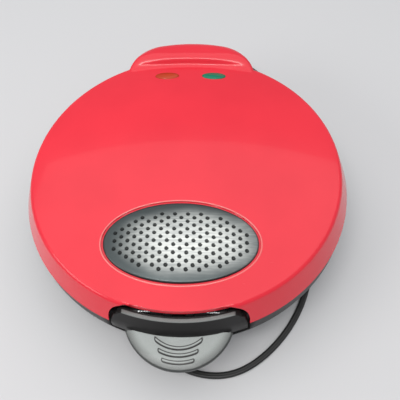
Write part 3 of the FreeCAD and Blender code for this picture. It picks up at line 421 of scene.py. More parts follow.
@dataclass(frozen=True)
class TwoToneLatch(Finish):
    """Silver paint on the tab, a painted highlight in silver on a strip along the top edge, black
    grained plastic on the rest.
    """

    specular: float = 0.25
    coat_roughness: float = 0.03
    band: Colour = (0.014, 0.013, 0.013)
    band_roughness: float = 0.42
    flake_scale: float = 5200.0
    flake_detail: float = 1.0
    flake_range: Range = (0.35, 0.75)
    # Millimetres, about the lid's axis for strip and tab and about the tab's centre for the ribs.
    blur: float = 0.2
    # The strip along the band's top edge is a painted highlight where light falls on its upward
    # face.
    strip_low: float = 61.4
    strip_low_blur: float = 0.1
    strip_start: float = 113.4
    strip_half: float = 37.0
    strip_half_blur: float = 0.3
    tab_start: float = 120.2
    tab_centre: float = -103.0
    tab_radius: float = 38.0
    # Painted shade: the tab darkens towards its edge.
    tab_edge_shade_range: Range = (0.8, 1.02)
    tab_edge_shade_strength: float = 0.75
    rib_radii: Sequence[float] = (24.0, 28.4, 32.8)
    rib_halves: Sequence[float] = (15.5, 13.0, 10.5)
    rib_half_width: float = 0.95
    # Painted shadow lines round the raised ribs: width, sharp core and strength.
    rib_shadow_width: float = 0.65
    rib_shadow_core: float = 0.4
    rib_shadow_strength: float = 0.95

    def rib_shadows(self, x: Signal, back: Signal) -> Signal:
        """Painted shadow line round each raised rib.

        Args:
            x: Place to the right, in metres.
            back: Place to the rear of the tab's centre, in metres.

        Returns:
            1 in a line, 0 away from it.
        """
        from_centre = x.span(back)
        lines: Value = 0.0
        for radius, half in zip(self.rib_radii, self.rib_halves):
            past_end = (x.size() - (half - self.rib_half_width) * MM).greater(0.0)
            off_middle = from_centre - radius * MM
            from_edge = (past_end.span(off_middle) - self.rib_half_width * MM).size()
            line = 1.0 - from_edge.step(self.rib_shadow_core * self.rib_shadow_width * MM, self.rib_shadow_width * MM)
            lines = line.greater(lines)
        return lines * (-back).above(0.0)

    def silver_and_highlight(self, x: Signal, z: Signal, from_axis: Signal) -> tuple[Signal, Signal]:
        """Where the latch is silver: on the tab, and on the strip as a painted highlight.

        Args:
            x: Place to the right, in metres.
            z: Height in metres.
            from_axis: Distance from the lid's axis, in metres.

        Returns:
            1 on the tab, and 1 on the strip.
        """
        blur = self.blur * MM
        tab = (from_axis - self.tab_start * MM).step(-blur, blur)
        strip = (z - self.strip_low * MM).step(-self.strip_low_blur * MM, blur)
        strip = strip * (from_axis - self.strip_start * MM).step(-blur, blur)
        end_blur = self.strip_half_blur * MM
        return tab, strip * (self.strip_half * MM - x.size()).step(-end_blur, end_blur)

    def dress(self, shader: Shader, mottle: Signal, grain: Signal) -> None:
        """Give the material its colour, gloss and relief.

        Args:
            shader: The material's node maker.
            mottle: Slow noise between 0 and 1.
            grain: Fine noise between 0 and 1.
        """
        x, y, z = shader.axes()
        back = y - (AXIS_Y + self.tab_centre) * MM
        # Silver on the tab; on the strip the silver is a painted highlight.
        tab, strip = self.silver_and_highlight(x, z, x.span(y - AXIS_Y * MM))
        dark = 1.0 - tab.greater(strip)
        # Painted shade darkens the tab towards its edge.
        edge_shade = (x.span(back) / (self.tab_radius * MM)).step(*self.tab_edge_shade_range) * tab
        # Painted shadow lines round the ribs join the painted shade at the edge.
        tab_shade = (edge_shade * self.tab_edge_shade_strength).greater(self.rib_shadows(x, back) * self.rib_shadow_strength)
        flake = shader.noise(self.flake_scale, self.flake_detail)
        silver = shader.mix(flake.step(*self.flake_range), self.colour, self.shade)
        shader.set(Base_Color=shader.mix(dark, shader.mix(tab_shade, silver, self.band), self.band))
        shader.set(Metallic=(1.0 - dark) * self.metallic)
        duller = dark * (self.band_roughness - self.roughness)
        shader.set(Roughness=self.roughness + duller + (mottle - 0.5) * self.gloss_spread)
        shader.bump(grain, self.grain_depth, self.grain_strength)


@dataclass(frozen=True)
class BrushedOval(Finish):
    """Drawn metal with a lengthwise brush; a painted reflection darkens it towards its edge and
    brightens its middle, and painted shade darkens its dull dimples.
    """

    # Painted reflection: darker towards the plate's edge and brightest a little right of its
    # middle, with a border made ragged by the cloud.
    edge_shade: Colour = (0.07, 0.082, 0.084)
    edge_shade_range: Range = (-0.1, 0.85)
    edge_shade_along: float = 0.7
    highlight_x: float = 7.0
    cloud: float = 0.45
    cloud_gloss: float = 0.08
    # Painted shade in the dimples: darker the deeper, from each dimple's depth share.
    pressed: Colour = (0.02, 0.022, 0.022)
    dimple_shade_range: Range = (0.02, 0.6)
    dimple_shade_share: float = 0.92
    pressed_dulling: float = 0.25

    def dress(self, shader: Shader, mottle: Signal, grain: Signal) -> None:
        """Give the material its colour, gloss and relief.

        Args:
            shader: The material's node maker.
            mottle: Slow noise between 0 and 1.
            grain: Fine noise between 0 and 1.
        """
        x, y, _ = shader.axes()
        # Painted reflection: the colour darkens towards the edge and is brightest near the middle.
        along = (x - self.highlight_x * MM) / (OVAL_HALF_LENGTH * MM)
        across = (y - (AXIS_Y - OVAL_REACH) * MM) / (OVAL_HALF_WIDTH * MM)
        cloud = (mottle - 0.5) * self.cloud
        edge_shade = (along * along * self.edge_shade_along + across * across + cloud).step(*self.edge_shade_range)
        # Painted shade in the dimples, from their depth.
        sunk = shader.attribute("sunk").step(*self.dimple_shade_range)
        tone = shader.mix(grain.step(*self.tone_range), self.colour, self.shade)
        face = shader.mix(edge_shade, tone, self.edge_shade)
        shader.set(Base_Color=shader.mix(sunk * self.dimple_shade_share, face, self.pressed))
        uneven = (grain - 0.5) * self.gloss_spread + (mottle - 0.5) * self.cloud_gloss
        shader.set(Roughness=self.roughness + uneven + sunk * self.pressed_dulling)
        shader.bump(grain, self.grain_depth, self.grain_strength)


@dataclass(frozen=True)
class RibbedLens(Finish):
    """Tinted indicator lens with fine prisms moulded under its face and a weak glow."""

    specular: float = 0.25
    coat_roughness: float = 0.03
    prism_pitch: float = 0.9
    prism_tint: float = 0.6
    mottle_tint: float = 0.2
    glow: float = 0.06

    def dress(self, shader: Shader, mottle: Signal, grain: Signal) -> None:
        """Give the material its colour, gloss and relief.

        Args:
            shader: The material's node maker.
            mottle: Slow noise between 0 and 1.
            grain: Fine noise between 0 and 1, unused under the prisms.
        """
        x, y, _ = shader.axes()
        waves = 2.0 * math.pi / (self.prism_pitch * MM)
        prisms = ((x * waves).sine() * 0.5 + 0.5) * ((y * waves).sine() * 0.5 + 0.5)
        tint = prisms * self.prism_tint + mottle * self.mottle_tint
        shader.set(Base_Color=shader.mix(tint, self.colour, self.shade))
        shader.set(Emission_Color=shader.mix(prisms, self.colour, self.shade))
        shader.set(Emission_Strength=self.glow)
        shader.set(Roughness=self.roughness + (mottle - 0.5) * self.gloss_spread)
        shader.bump(prisms, self.grain_depth, self.grain_strength)


FINISHES = (
    GlossyLid(
        "red_plastic", (0.86, 0.03, 0.052), (0.78, 0.024, 0.044), 0.24, coat=0.3, mottle_scale=14.0,
        gloss_spread=0.06, grain_scale=700.0, grain_depth=0.00002, grain_strength=0.12,
    ),
    # Paler red for the lip round the oval recess: a painted highlight along its edge.
    GlossyLid("red_edge", (0.95, 0.22, 0.22), (0.9, 0.17, 0.17), 0.16, coat=0.6),
    Finish(
        "black_plastic", (0.016, 0.016, 0.017), (0.024, 0.024, 0.025), 0.46, grain_depth=0.00006,
    ),
    TwoToneLatch(
        "latch_plastic", (0.25, 0.267, 0.26), (0.18, 0.195, 0.19), 0.36, metallic=0.3, coat=0.1,
    ),
    Finish("white_plastic", (0.74, 0.72, 0.66), (0.66, 0.64, 0.58), 0.5),
    Finish(
        "coated_aluminium", (0.03, 0.03, 0.032), (0.05, 0.05, 0.053), 0.38, metallic=0.25,
        mottle_scale=60.0, grain_scale=2600.0, grain_depth=0.00005,
    ),
    Finish(
        "shield_aluminium", (0.66, 0.67, 0.68), (0.55, 0.56, 0.57), 0.34, metallic=1.0,
        streak=(1.0, 30.0, 1.0),
    ),
    Finish(
        "heater_steel", (0.32, 0.3, 0.27), (0.2, 0.18, 0.16), 0.45, metallic=0.9,
        mottle_scale=120.0,
    ),
    Finish(
        "screw_steel", (0.56, 0.57, 0.58), (0.44, 0.45, 0.46), 0.32, metallic=1.0,
        streak=(12.0, 1.0, 1.0),
    ),
    BrushedOval(
        "silver_trim", (0.74, 0.76, 0.73), (0.5, 0.52, 0.51), 0.34, metallic=0.9, grain_scale=900.0,
        streak=(0.06, 1.0, 1.0), grain_depth=0.00002, grain_strength=0.2,
    ),
    RibbedLens(
        "green_lens", (0.003, 0.16, 0.09), (0.006, 0.28, 0.16), 0.18, coat=0.1, grain_strength=0.4,
    ),
    RibbedLens(
        "amber_lens", (0.44, 0.04, 0.01), (0.56, 0.08, 0.018), 0.18, coat=0.1, grain_strength=0.4,
    ),
    Finish("lamp_glass", (0.8, 0.72, 0.62), (0.7, 0.6, 0.5), 0.1, coat=0.5),
    Finish("foot_rubber", (0.02, 0.02, 0.02), (0.032, 0.032, 0.032), 0.72, grain_depth=0.0001),
    Finish("cord_rubber", (0.012, 0.012, 0.012), (0.02, 0.02, 0.02), 0.4),
    Finish(
        "lead_sleeve", (0.62, 0.58, 0.5), (0.5, 0.46, 0.38), 0.8, grain_scale=2200.0,
        grain_depth=0.0002,
    ),
    Finish(
        "blade_brass", (0.72, 0.6, 0.32), (0.6, 0.5, 0.26), 0.3, metallic=1.0,
        streak=(1.0, 14.0, 1.0),
    ),
)


def circle(sides: int) -> list[Range]:
    """Points of a circle of radius 1, turning left from the right."""
    turns = [2 * math.pi * i / sides for i in range(sides)]
    return [(math.cos(t), math.sin(t)) for t in turns]


def bridge(work: bmesh.types.BMesh, rings: Sequence[Sequence[bmesh.types.BMVert]]) -> None:
    """Join each ring of corners to the next by four-sided faces.

    Args:
        work: The mesh at work.
        rings: Rings of equally many corners. Faces point up from a ring to a wider one beside it.
    """
    for near, far in zip(rings, rings[1:]):
        for i in range(len(near)):
            j = (i + 1) % len(near)
            work.faces.new((near[i], far[i], far[j], near[j]))


def plain_mesh(work: bmesh.types.BMesh, name: str) -> bpy.types.Mesh:
    """Turn a mesh at work into a plain one.

    Args:
        work: The mesh at work; freed afterwards.
        name: Name of the plain mesh.

    Returns:
        The plain mesh.
    """
    mesh = bpy.data.meshes.new(name)
    work.to_mesh(mesh)
    work.free()
    return mesh


def shade_smooth(mesh: bpy.types.Mesh, angle: float) -> None:
    """Shade a mesh smooth up to a largest turn between faces, in degrees."""
    mesh.polygons.foreach_set("use_smooth", [True] * len(mesh.polygons))
    mesh.set_sharp_from_angle(angle=math.radians(angle))


def link_mesh(name: str, mesh: bpy.types.Mesh, material: bpy.types.Material) -> bpy.types.Object:
    """Put a mesh in the scene with one material.

    Args:
        name: Name of the object.
        mesh: The mesh.
        material: Its only material.

    Returns:
        The object.
    """
    mesh.materials.clear()
    mesh.materials.append(material)
    made = bpy.data.objects.new(name, mesh)
    bpy.context.scene.collection.objects.link(made)
    return made


def settle(piece: bpy.types.Object, body: Body, slot: str, *nodes: str) -> bpy.types.Object:
    """Tie a piece to its body and hide the CAD nodes that it stands for.

    Args:
        piece: The finished piece.
        body: Body that it rides on.
        slot: Material slot of the record; not used.
        nodes: CAD nodes that it replaces.

    Returns:
        The piece.
    """
    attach(piece, body.value)
    if nodes:
        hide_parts(*nodes)
    return piece


def evaluated_mesh(carrier: bpy.types.Object) -> bpy.types.Mesh:
    """Plain mesh of an object as its modifiers leave it.

    Args:
        carrier: The object.

    Returns:
        The new mesh.
    """
    bpy.context.view_layer.update()
    shown = carrier.evaluated_get(bpy.context.evaluated_depsgraph_get())
    return bpy.data.meshes.new_from_object(shown)


def merged_copy(node: str, angle: float, shape: Optional[MeshChange] = None) -> bpy.types.Mesh:
    """Copy of a CAD node's mesh with its corners joined and its round faces shaded smooth.

    Args:
        node: Name of the CAD node.
        angle: Largest turn in degrees that is shaded smooth.
        shape: Change to the copy's form, if any.

    Returns:
        The new mesh.
    """
    mesh = FRAME["nodes"][node].data.copy()
    mesh.name = node + "_smooth"
    work = bmesh.new()
    work.from_mesh(mesh)
    bmesh.ops.remove_doubles(work, verts=work.verts, dist=WELD)
    bmesh.ops.dissolve_degenerate(work, edges=work.edges, dist=SLIVER)
    work.to_mesh(mesh)
    work.free()
    if shape is not None:
        shape(mesh)
    shade_smooth(mesh, angle)
    return weighted(mesh)


def weighted(mesh: bpy.types.Mesh) -> bpy.types.Mesh:
    """Let broad faces lead the shading normals, so that flats stay flat beside small rounds.

    Args:
        mesh: Mesh with its sharp edges marked; removed afterwards.

    Returns:
        A mesh with the new normals.
    """
    name = mesh.name
    carrier = bpy.data.objects.new(name, mesh)
    bpy.context.scene.collection.objects.link(carrier)
    modifier = carrier.modifiers.new("weighted", "WEIGHTED_NORMAL")
    modifier.mode = "FACE_AREA"
    modifier.weight = AREA_WEIGHT
    modifier.keep_sharp = True
    result = evaluated_mesh(carrier)
    bpy.data.objects.remove(carrier)
    bpy.data.meshes.remove(mesh)
    result.name = name
    return result


def column(
    rows: bpy.types.bpy_prop_collection, name: str, width: int = 1, kind: type = np.float32
) -> np.ndarray:
    """Read one property of every row of a mesh.

    Args:
        rows: The mesh's corners, faces or the like.
        name: The property.
        width: Numbers in each value.
        kind: Kind of number.

    Returns:
        The values, a row each where they have several numbers.
    """
    values = np.zeros(len(rows) * width, kind)
    rows.foreach_get(name, values)
    return values.reshape(-1, width) if width > 1 else values


def set_normals(mesh: bpy.types.Mesh, rule: NormalRule) -> None:
    """Replace shading normals where a surface's true normal is known.

    Args:
        mesh: The mesh.
        rule: Gives normals from corner places, face normals and area shares; zeros keep the old.
    """
    corners = column(mesh.corner_normals, "vector", 3)
    places = column(mesh.vertices, "co", 3)[column(mesh.loops, "vertex_index", kind=np.int32)]
    totals = column(mesh.polygons, "loop_total", kind=np.int32)
    flat = np.repeat(column(mesh.polygons, "normal", 3), totals, axis=0)
    areas = np.repeat(column(mesh.polygons, "area") / totals, totals)
    true = rule(places, flat, areas / areas.sum())
    known = true.any(axis=1)
    corners[known] = true[known]
    mesh.normals_split_custom_set(corners.tolist())


def broad_flats(places: np.ndarray, flat: np.ndarray, areas: np.ndarray) -> np.ndarray:
    """Keep broad flat faces flat in the shading.

    Args:
        places: Corner places in metres.
        flat: Face normals.
        areas: Share of the mesh's area that each corner stands for.

    Returns:
        The face normal on broad flats, zeros elsewhere.
    """
    _, groups = np.unique(np.round(flat, FLAT_DIGITS), axis=0, return_inverse=True)
    groups = groups.reshape(-1)
    broad = np.bincount(groups, weights=areas)[groups] > FLAT_SHARE
    return np.where(broad[:, None], flat, 0.0)


@dataclass
class HumpForm:
    """Heights in millimetres of the hinge hump about the lid's axis, solid and softened."""

    dome_radius: float
    dome_centre: float
    half_width: float = 53.0
    reach: float = 128.0
    back_radius: float = 120.0
    corner_radius: float = 34.0
    edge_round: float = 12.0
    crest_z: float = 77.5
    valley_start: float = 98.0
    valley_radius: float = 4.0
    valley_sink: float = 0.3
    crest_radius: float = 5.0
    root: float = 80.0
    # The softened front bows, eases towards its sides and blends into the rounded edge.
    blend: float = 5.0
    bow: float = 4.0
    stretch: float = 1.5
    gentle_from: float = 12.0
    gentle_to: float = 48.0
    gentle_run: float = 15.0
    gentle_drop: float = 1.5
    probe: float = 0.15
    # How finely the faces are cut, and how near to the hump's outer surface its corners lie.
    cut_step: float = 1.2
    cut_snap: float = 0.0001
    touch: float = 0.06
    overhang: float = 0.05
    below_dome: float = 6.0

    def dome(self, x: Numbers, y: Numbers) -> Numbers:
        """Height of the dome."""
        return self.dome_centre + np.sqrt(self.dome_radius**2 - x * x - y * y)

    def depth(self, x: np.ndarray, y: np.ndarray) -> np.ndarray:
        """Distance inside the hump's outline seen from above.

        Args:
            x: Millimetres to the right.
            y: Millimetres to the rear.

        Returns:
            Millimetres, below zero outside.
        """
        side = np.abs(x)
        sweep_y = self.reach - self.back_radius
        turn_x = self.half_width - self.corner_radius
        turn_y = sweep_y + math.sqrt((self.back_radius - self.corner_radius) ** 2 - turn_x**2)
        slant = turn_x / (turn_y - sweep_y)
        corner = self.corner_radius - np.hypot(side - turn_x, y - turn_y)
        back = self.back_radius - np.hypot(side, y - sweep_y)
        behind = np.where(side - turn_x > slant * (y - turn_y), corner, back)
        return np.where(y < turn_y, self.half_width - side, behind)

    def edge(self, x: np.ndarray, y: np.ndarray) -> np.ndarray:
        """Height of the rounded outer edge."""
        short = np.clip(self.edge_round - self.depth(x, y), 0.0, self.edge_round)
        return self.crest_z - self.edge_round + np.sqrt(self.edge_round**2 - short**2)

    def front(self, y: np.ndarray) -> np.ndarray:
        """Height of the hollow and the crest that rise from the dome.

        Args:
            y: Millimetres to the rear.

        Returns:
            Heights in millimetres.
        """
        slope = self.valley_start / math.sqrt(self.dome_radius**2 - self.valley_start**2)
        lean = 1.0 / math.sqrt(1.0 + slope**2)
        start_y = self.valley_start - self.valley_sink * slope * lean
        start_z = self.dome(0.0, self.valley_start) - self.valley_sink * lean
        radii = self.valley_radius + self.crest_radius
        rise = self.crest_z - start_z
        steep = math.acos((self.valley_radius * lean + self.crest_radius - rise) / radii)
        valley_y = start_y + self.valley_radius * slope * lean
        valley_z = start_z + self.valley_radius * lean
        meet_y = valley_y + self.valley_radius * math.sin(steep)
        crest_y = meet_y + self.crest_radius * math.sin(steep)
        hollow = valley_z - np.sqrt(np.maximum(self.valley_radius**2 - (y - valley_y) ** 2, 0.0))
        gap = np.clip(crest_y - y, 0.0, self.crest_radius)
        crest = self.crest_z - self.crest_radius + np.sqrt(self.crest_radius**2 - gap**2)
        return np.where(y < start_y, start_z, np.where(y < meet_y, hollow, crest))

    @staticmethod
    def ease(share: np.ndarray) -> np.ndarray:
        """Smooth step from 0 to 1."""
        held = np.clip(share, 0.0, 1.0)
        return held * held * (3.0 - 2.0 * held)

    def solid(self, x: np.ndarray, y: np.ndarray) -> np.ndarray:
        """Height of the solid's hump."""
        return np.minimum(self.edge(x, y), self.front(y))

    def soft(self, x: np.ndarray, y: np.ndarray) -> np.ndarray:
        """Height with the creases between edge, front and dome softened.

        Args:
            x: Millimetres to the right.
            y: Millimetres to the rear.

        Returns:
            Heights in millimetres.
        """
        low = self.front(np.full_like(y, self.root))
        forward = self.bow * (x / self.half_width) ** 2
        run = y + forward - self.valley_start
        steep = (self.front(self.valley_start + run / self.stretch) - low) / (self.crest_z - low)
        gentle = self.ease(run / self.gentle_run)
        aside = self.ease((np.abs(x) - self.gentle_from) / (self.gentle_to - self.gentle_from))
        share = steep * (1.0 - aside) + gentle * aside
        dome = self.dome(x, y)
        front = dome + (self.crest_z - self.gentle_drop * aside - dome) * share
        edge = self.edge(x, y)
        mix = np.clip(0.5 + 0.5 * (edge - front) / self.blend, 0.0, 1.0)
        joined = edge * (1.0 - mix) + front * mix - self.blend * mix * (1.0 - mix)
        lift = share * np.clip((edge - self.crest_z) / self.edge_round + 1.0, 0.0, 1.0)
        return np.maximum(joined + 0.25 * self.blend * lift, np.minimum(self.solid(x, y), dome))

    def normals(self, x: np.ndarray, y: np.ndarray) -> np.ndarray:
        """Normals of the softened form.

        Args:
            x: Millimetres to the right.
            y: Millimetres to the rear.

        Returns:
            A row of length 1 for each place.
        """
        step = self.probe
        along = (self.soft(x + step, y) - self.soft(x - step, y)) / (2 * step)
        across = (self.soft(x, y + step) - self.soft(x, y - step)) / (2 * step)
        away = np.column_stack([-along, -across, np.ones_like(along)])
        return away / np.linalg.norm(away, axis=1)[:, None]

    def outer_faces(self, work: bmesh.types.BMesh) -> list[bmesh.types.BMFace]:
        """Faces of the lid that lie on the hump's outer surface.

        Args:
            work: The lid's mesh at work.

        Returns:
            The faces.
        """
        places = np.array([v.co for v in work.verts]) / MM - np.array([0.0, AXIS_Y, 0.0])
        x, y, z = places.T
        on_hump = np.abs(z - self.solid(x, y)) < self.touch
        on_hump &= (y > self.root) & (self.depth(x, y) > -self.overhang)
        on_hump &= z > self.dome(x, np.minimum(y, self.reach)) - self.below_dome
        upward = (f for f in work.faces if f.normal.z > 0.0)
        return [f for f in upward if all(on_hump[v.index] for v in f.verts)]

    def cut(
        self,
        work: bmesh.types.BMesh,
        faces: list[bmesh.types.BMFace],
        place: Vector,
        across: Vector,
    ) -> list[bmesh.types.BMFace]:
        """Cut faces along one upright plane.

        Args:
            work: The lid's mesh at work.
            faces: The faces to cut.
            place: A place on the plane about the lid's axis, in millimetres.
            across: The plane's normal.

        Returns:
            The faces on both sides of the cut.
        """
        geometry = dict.fromkeys(faces)
        for face in faces:
            geometry.update(dict.fromkeys(face.edges))
            geometry.update(dict.fromkeys(face.verts))
        spot = (place + Vector((0.0, AXIS_Y, 0.0))) * MM
        done = bmesh.ops.bisect_plane(
            work, geom=list(geometry), dist=self.cut_snap * MM, plane_co=spot, plane_no=across
        )
        return [g for g in done["geom"] if isinstance(g, bmesh.types.BMFace)]

    def shape(self, mesh: bpy.types.Mesh) -> None:
        """Cut the hump's outer faces finely and move them to the softened form.

        Args:
            mesh: Merged copy of the lid.
        """
        work = bmesh.new()
        work.from_mesh(mesh)
        faces = self.outer_faces(work)
        for x in np.arange(-self.half_width, self.half_width, self.cut_step):
            faces = self.cut(work, faces, Vector((x, 0.0, 0.0)), Vector((1.0, 0.0, 0.0)))
        for y in np.arange(self.root, self.reach, self.cut_step):
            faces = self.cut(work, faces, Vector((0.0, y, 0.0)), Vector((0.0, 1.0, 0.0)))
        moved = list(dict.fromkeys(v for f in faces for v in f.verts))
        x = np.array([v.co.x for v in moved]) / MM
        y = np.array([v.co.y for v in moved]) / MM - AXIS_Y
        for vert, z in zip(moved, self.soft(x, y)):
            vert.co.z = z * MM
        LOG.info("hump: %d corners softened", len(moved))
        bmesh.ops.remove_doubles(work, verts=work.verts, dist=WELD)
        bmesh.ops.triangulate(work, faces=[f for f in work.faces if len(f.verts) > 4])
        work.to_mesh(mesh)
        work.free()


@dataclass
class LidSkin:
    """The domed lid: true sphere, cone and hump normals keep its reflections even."""

    rim_radius: float = 120.0
    rim_z: float = 50.0
    side_height: float = 19.3
    side_lean: float = 7.0
    dome_rise: float = 10.0
    smooth_angle: float = 34.0
    # A corner is on a surface that it lies within touch of, where the two normals also agree.
    touch: float = 0.06
    dome_match: float = 0.997
    side_match: float = 0.99
    hump_upward: float = 0.02
    hump_inset: float = 0.3

    @property
    def dome_radius(self) -> float:
        """Radius of the dome's sphere."""
        shoulder = self.rim_radius - self.side_lean
        return (shoulder**2 + self.dome_rise**2) / (2 * self.dome_rise)

    @property
    def dome_centre(self) -> float:
        """Height of the sphere's middle."""
        return self.rim_z + self.side_height + self.dome_rise - self.dome_radius

    @property
    def hump(self) -> HumpForm:
        """The hinge hump on this dome."""
        return HumpForm(self.dome_radius, self.dome_centre)

    def dome_z(self, x: float, y: float, proud: float) -> float:
        """Height of the dome over a place about the lid's axis.

        Args:
            x: Millimetres to the right.
            y: Millimetres to the rear.
            proud: Millimetres out of the surface.

        Returns:
            The height in millimetres.
        """
        return self.dome_centre + math.sqrt((self.dome_radius + proud) ** 2 - x * x - y * y)

    def normals(self, places: np.ndarray, flat: np.ndarray, areas: np.ndarray) -> np.ndarray:
        """True normals on the dome, the leaning side and the hump.

        Args:
            places: Corner places in metres.
            flat: Face normals.
            areas: Share of the mesh's area that each corner stands for.

        Returns:
            Normals, or zeros away from those surfaces.
        """
        local = places / MM - np.array([0.0, AXIS_Y, self.dome_centre])
        x, y, z = local[:, 0], local[:, 1], local[:, 2] + self.dome_centre
        found = np.zeros_like(places)

        span = np.linalg.norm(local, axis=1)
        sphere = local / span[:, None]
        on_dome = np.abs(span - self.dome_radius) < self.touch
        on_dome &= (sphere * flat).sum(1) > self.dome_match
        found[on_dome] = sphere[on_dome]

        ring = np.hypot(x, y)
        lean = math.atan2(self.side_lean, self.side_height)
        level = math.cos(lean) / ring
        cone = np.column_stack([x * level, y * level, np.full_like(ring, math.sin(lean))])
        side = self.rim_radius - self.side_lean * (z - self.rim_z) / self.side_height
        on_side = (np.abs(ring - side) < self.touch) & ((cone * flat).sum(1) > self.side_match)
        found[on_side] = cone[on_side]

        hump = self.hump
        near = (y > hump.root) & (flat[:, 2] > self.hump_upward)
        near &= hump.depth(x, y) > self.hump_inset
        near[near] = np.abs(z[near] - hump.soft(x[near], y[near])) < self.touch
        near &= ~on_dome
        found[near] = hump.normals(x[near], y[near])
        return found

    def build(self, finishes: Finishes) -> list[bpy.types.Object]:
        """Make the lid's skin.

        Args:
            finishes: Materials by slot.

        Returns:
            The one piece.
        """
        mesh = merged_copy("lid_cover", self.smooth_angle, self.hump.shape)
        set_normals(mesh, self.normals)
        piece = link_mesh("lid_cover_skin", mesh, finishes["red_plastic"])
        return [settle(piece, Body.LID, "red_plastic", "lid_cover")]


@dataclass
class OvalPlate:
    """Crowned oval plate with staggered dimples pressed in, and the lip round its recess."""

    lid: LidSkin
    half_length: float = OVAL_HALF_LENGTH
    half_width: float = OVAL_HALF_WIDTH
    reach: float = OVAL_REACH
    crown: float = 1.2
    rim_proud: float = 0.35
    rim_roll: float = 1.3
    seat: float = 1.1
    pitch: float = 8.8
    row_step: float = 2.8
    margin: float = 4.5
    margin_across: float = 7.5
    dimple_radius: float = 1.55
    dimple_depth: float = 0.62
    dimple_sides: int = 20
    outline_sides: int = 180
    sharp_turn: float = 60.0
    lip_offset: float = 1.9
    probe: float = 0.2
    face_tolerance: float = 1e-5
    # Inset and drop of the rolled edge, in millimetres; under it, shares of the outline.
    roll_profile: Sequence[Range] = ((0.75, 0.08), (0.32, 0.28), (0.06, 0.62))
    under_shares: Sequence[float] = (0.75, 0.5, 0.25)
    # Shares of a dimple's radius and depth, from its brim to its floor.
    cup_profile: Sequence[Range] = (
        (1.0, 0.0), (0.9, 0.16), (0.72, 0.5), (0.48, 0.82), (0.24, 0.96),
    )
    # Distance outwards and height of the lip's section, in millimetres.
    lip_profile: Sequence[Range] = (
        (-0.55, -0.25), (-0.42, 0.1), (-0.2, 0.27), (0.04, 0.3), (0.3, 0.2), (0.55, 0.02),
        (0.7, -0.25),
    )

    def proud(self, x: float, y: float) -> float:
        """Height of the plate out of the dome.

        Args:
            x: Millimetres from the plate's middle, to the right.
            y: Millimetres from the plate's middle, to the rear.

        Returns:
            The height in millimetres.
        """
        share = (x / self.half_length) ** 2 + (y / self.half_width) ** 2
        return self.rim_proud + self.crown * max(0.0, 1.0 - share)

    def over_dome(self, x: float, y: float, proud: float, drop: float = 0.0) -> Vector:
        """Place over the dome in the shared frame.

        Args:
            x: Millimetres from the plate's middle, to the right.
            y: Millimetres from the plate's middle, to the rear.
            proud: Millimetres out of the dome.
            drop: Millimetres straight down from there.

        Returns:
            The place in metres.
        """
        from_axis = y - self.reach
        return Vector((x, from_axis + AXIS_Y, self.lid.dome_z(x, from_axis, proud) - drop)) * MM

    def spot(self, x: float, y: float, drop: float = 0.0) -> Vector:
        """Place on the plate's face, or a drop in millimetres below it, in the shared frame."""
        return self.over_dome(x, y, self.proud(x, y), drop)

    def dimples(self) -> list[Range]:
        """Middles of the dimples, row by row.

        Returns:
            Millimetres from the plate's middle, to the right and to the rear.
        """
        field_length = self.half_length - self.margin
        field_width = self.half_width - self.margin_across
        rows = int(field_width / self.row_step)
        columns = int(self.half_length / self.pitch) + 1
        places = []
        for row in range(-rows, rows + 1):
            for place in range(-columns, columns + 1):
                x = (place + 0.5 * (row % 2)) * self.pitch
                y = row * self.row_step
                if (x / field_length) ** 2 + (y / field_width) ** 2 < 1.0:
                    places.append((x, y))
        return places

    def ring(self, inset: float) -> list[Range]:
        """Oval outline inside the plate's edge by an inset in millimetres."""
        length, width = self.half_length - inset, self.half_width - inset
        return [(length * c, width * s) for c, s in circle(self.outline_sides)]

    def pierced_outline(self) -> tuple[list[Vector], list[list[int]]]:
        """Flat outline of the face and of the hole at each dimple.

        Returns:
            The points, and the points that bound the face and each hole in turn.
        """
        points = [Vector(p) for p in self.ring(self.rim_roll)]
        loops = [list(range(len(points)))]
        for x, y in self.dimples():
            loops.append(list(range(len(points), len(points) + self.dimple_sides)))
            for c, s in circle(self.dimple_sides):
                points.append(Vector((x + self.dimple_radius * c, y + self.dimple_radius * s)))
        return points, loops

    def edge_rings(self, work: bmesh.types.BMesh) -> list[list[bmesh.types.BMVert]]:
        """Corners of the rolled edge and of the underside.

        Args:
            work: The plate's mesh at work.

        Returns:
            Rings from the face over the edge to the middle of the underside.
        """
        rolls = ((self.rim_roll, 0.0), *self.roll_profile, (0.0, self.seat + self.rim_proud))
        rings = []
        for inset, drop in rolls:
            rings.append([self.spot(x, y, drop) for x, y in self.ring(inset)])
        for share in self.under_shares:
            under = [(x * share, y * share) for x, y in self.ring(0.0)]
            rings.append([self.spot(x, y, self.proud(x, y) + self.seat) for x, y in under])
        return [[work.verts.new(place) for place in ring] for ring in rings]

    def face_mesh(self) -> bpy.types.Mesh:
        """Face with a round hole at each dimple, a rolled edge and an underside on the seat.

        Returns:
            The mesh.
        """
        outline, loops = self.pierced_outline()
        flat = delaunay_2d_cdt(outline, [], loops, TRIANGLES_INSIDE, self.face_tolerance)
        points, _, faces, _, _, owners = flat
        work = bmesh.new()
        verts = [work.verts.new(self.spot(p.x, p.y)) for p in points]
        for face, owner in zip(faces, owners):
            if owner == [0]:
                work.faces.new([verts[i] for i in face])
        rings = self.edge_rings(work)
        bridge(work, rings)
        work.faces.new(rings[-1])
        bmesh.ops.remove_doubles(work, verts=work.verts, dist=WELD)
        bmesh.ops.recalc_face_normals(work, faces=work.faces)
        mesh = plain_mesh(work, "oval_plate_face")
        top = max(mesh.polygons, key=lambda f: f.center.z)
        if top.normal.z < 0:
            mesh.flip_normals()
        shade_smooth(mesh, self.sharp_turn)
        return mesh

    def cup_mesh(self) -> bpy.types.Mesh:
        """One pressed dimple, its brim at the origin.

        Returns:
            The mesh, with its share of the depth at each corner.
        """
        work = bmesh.new()
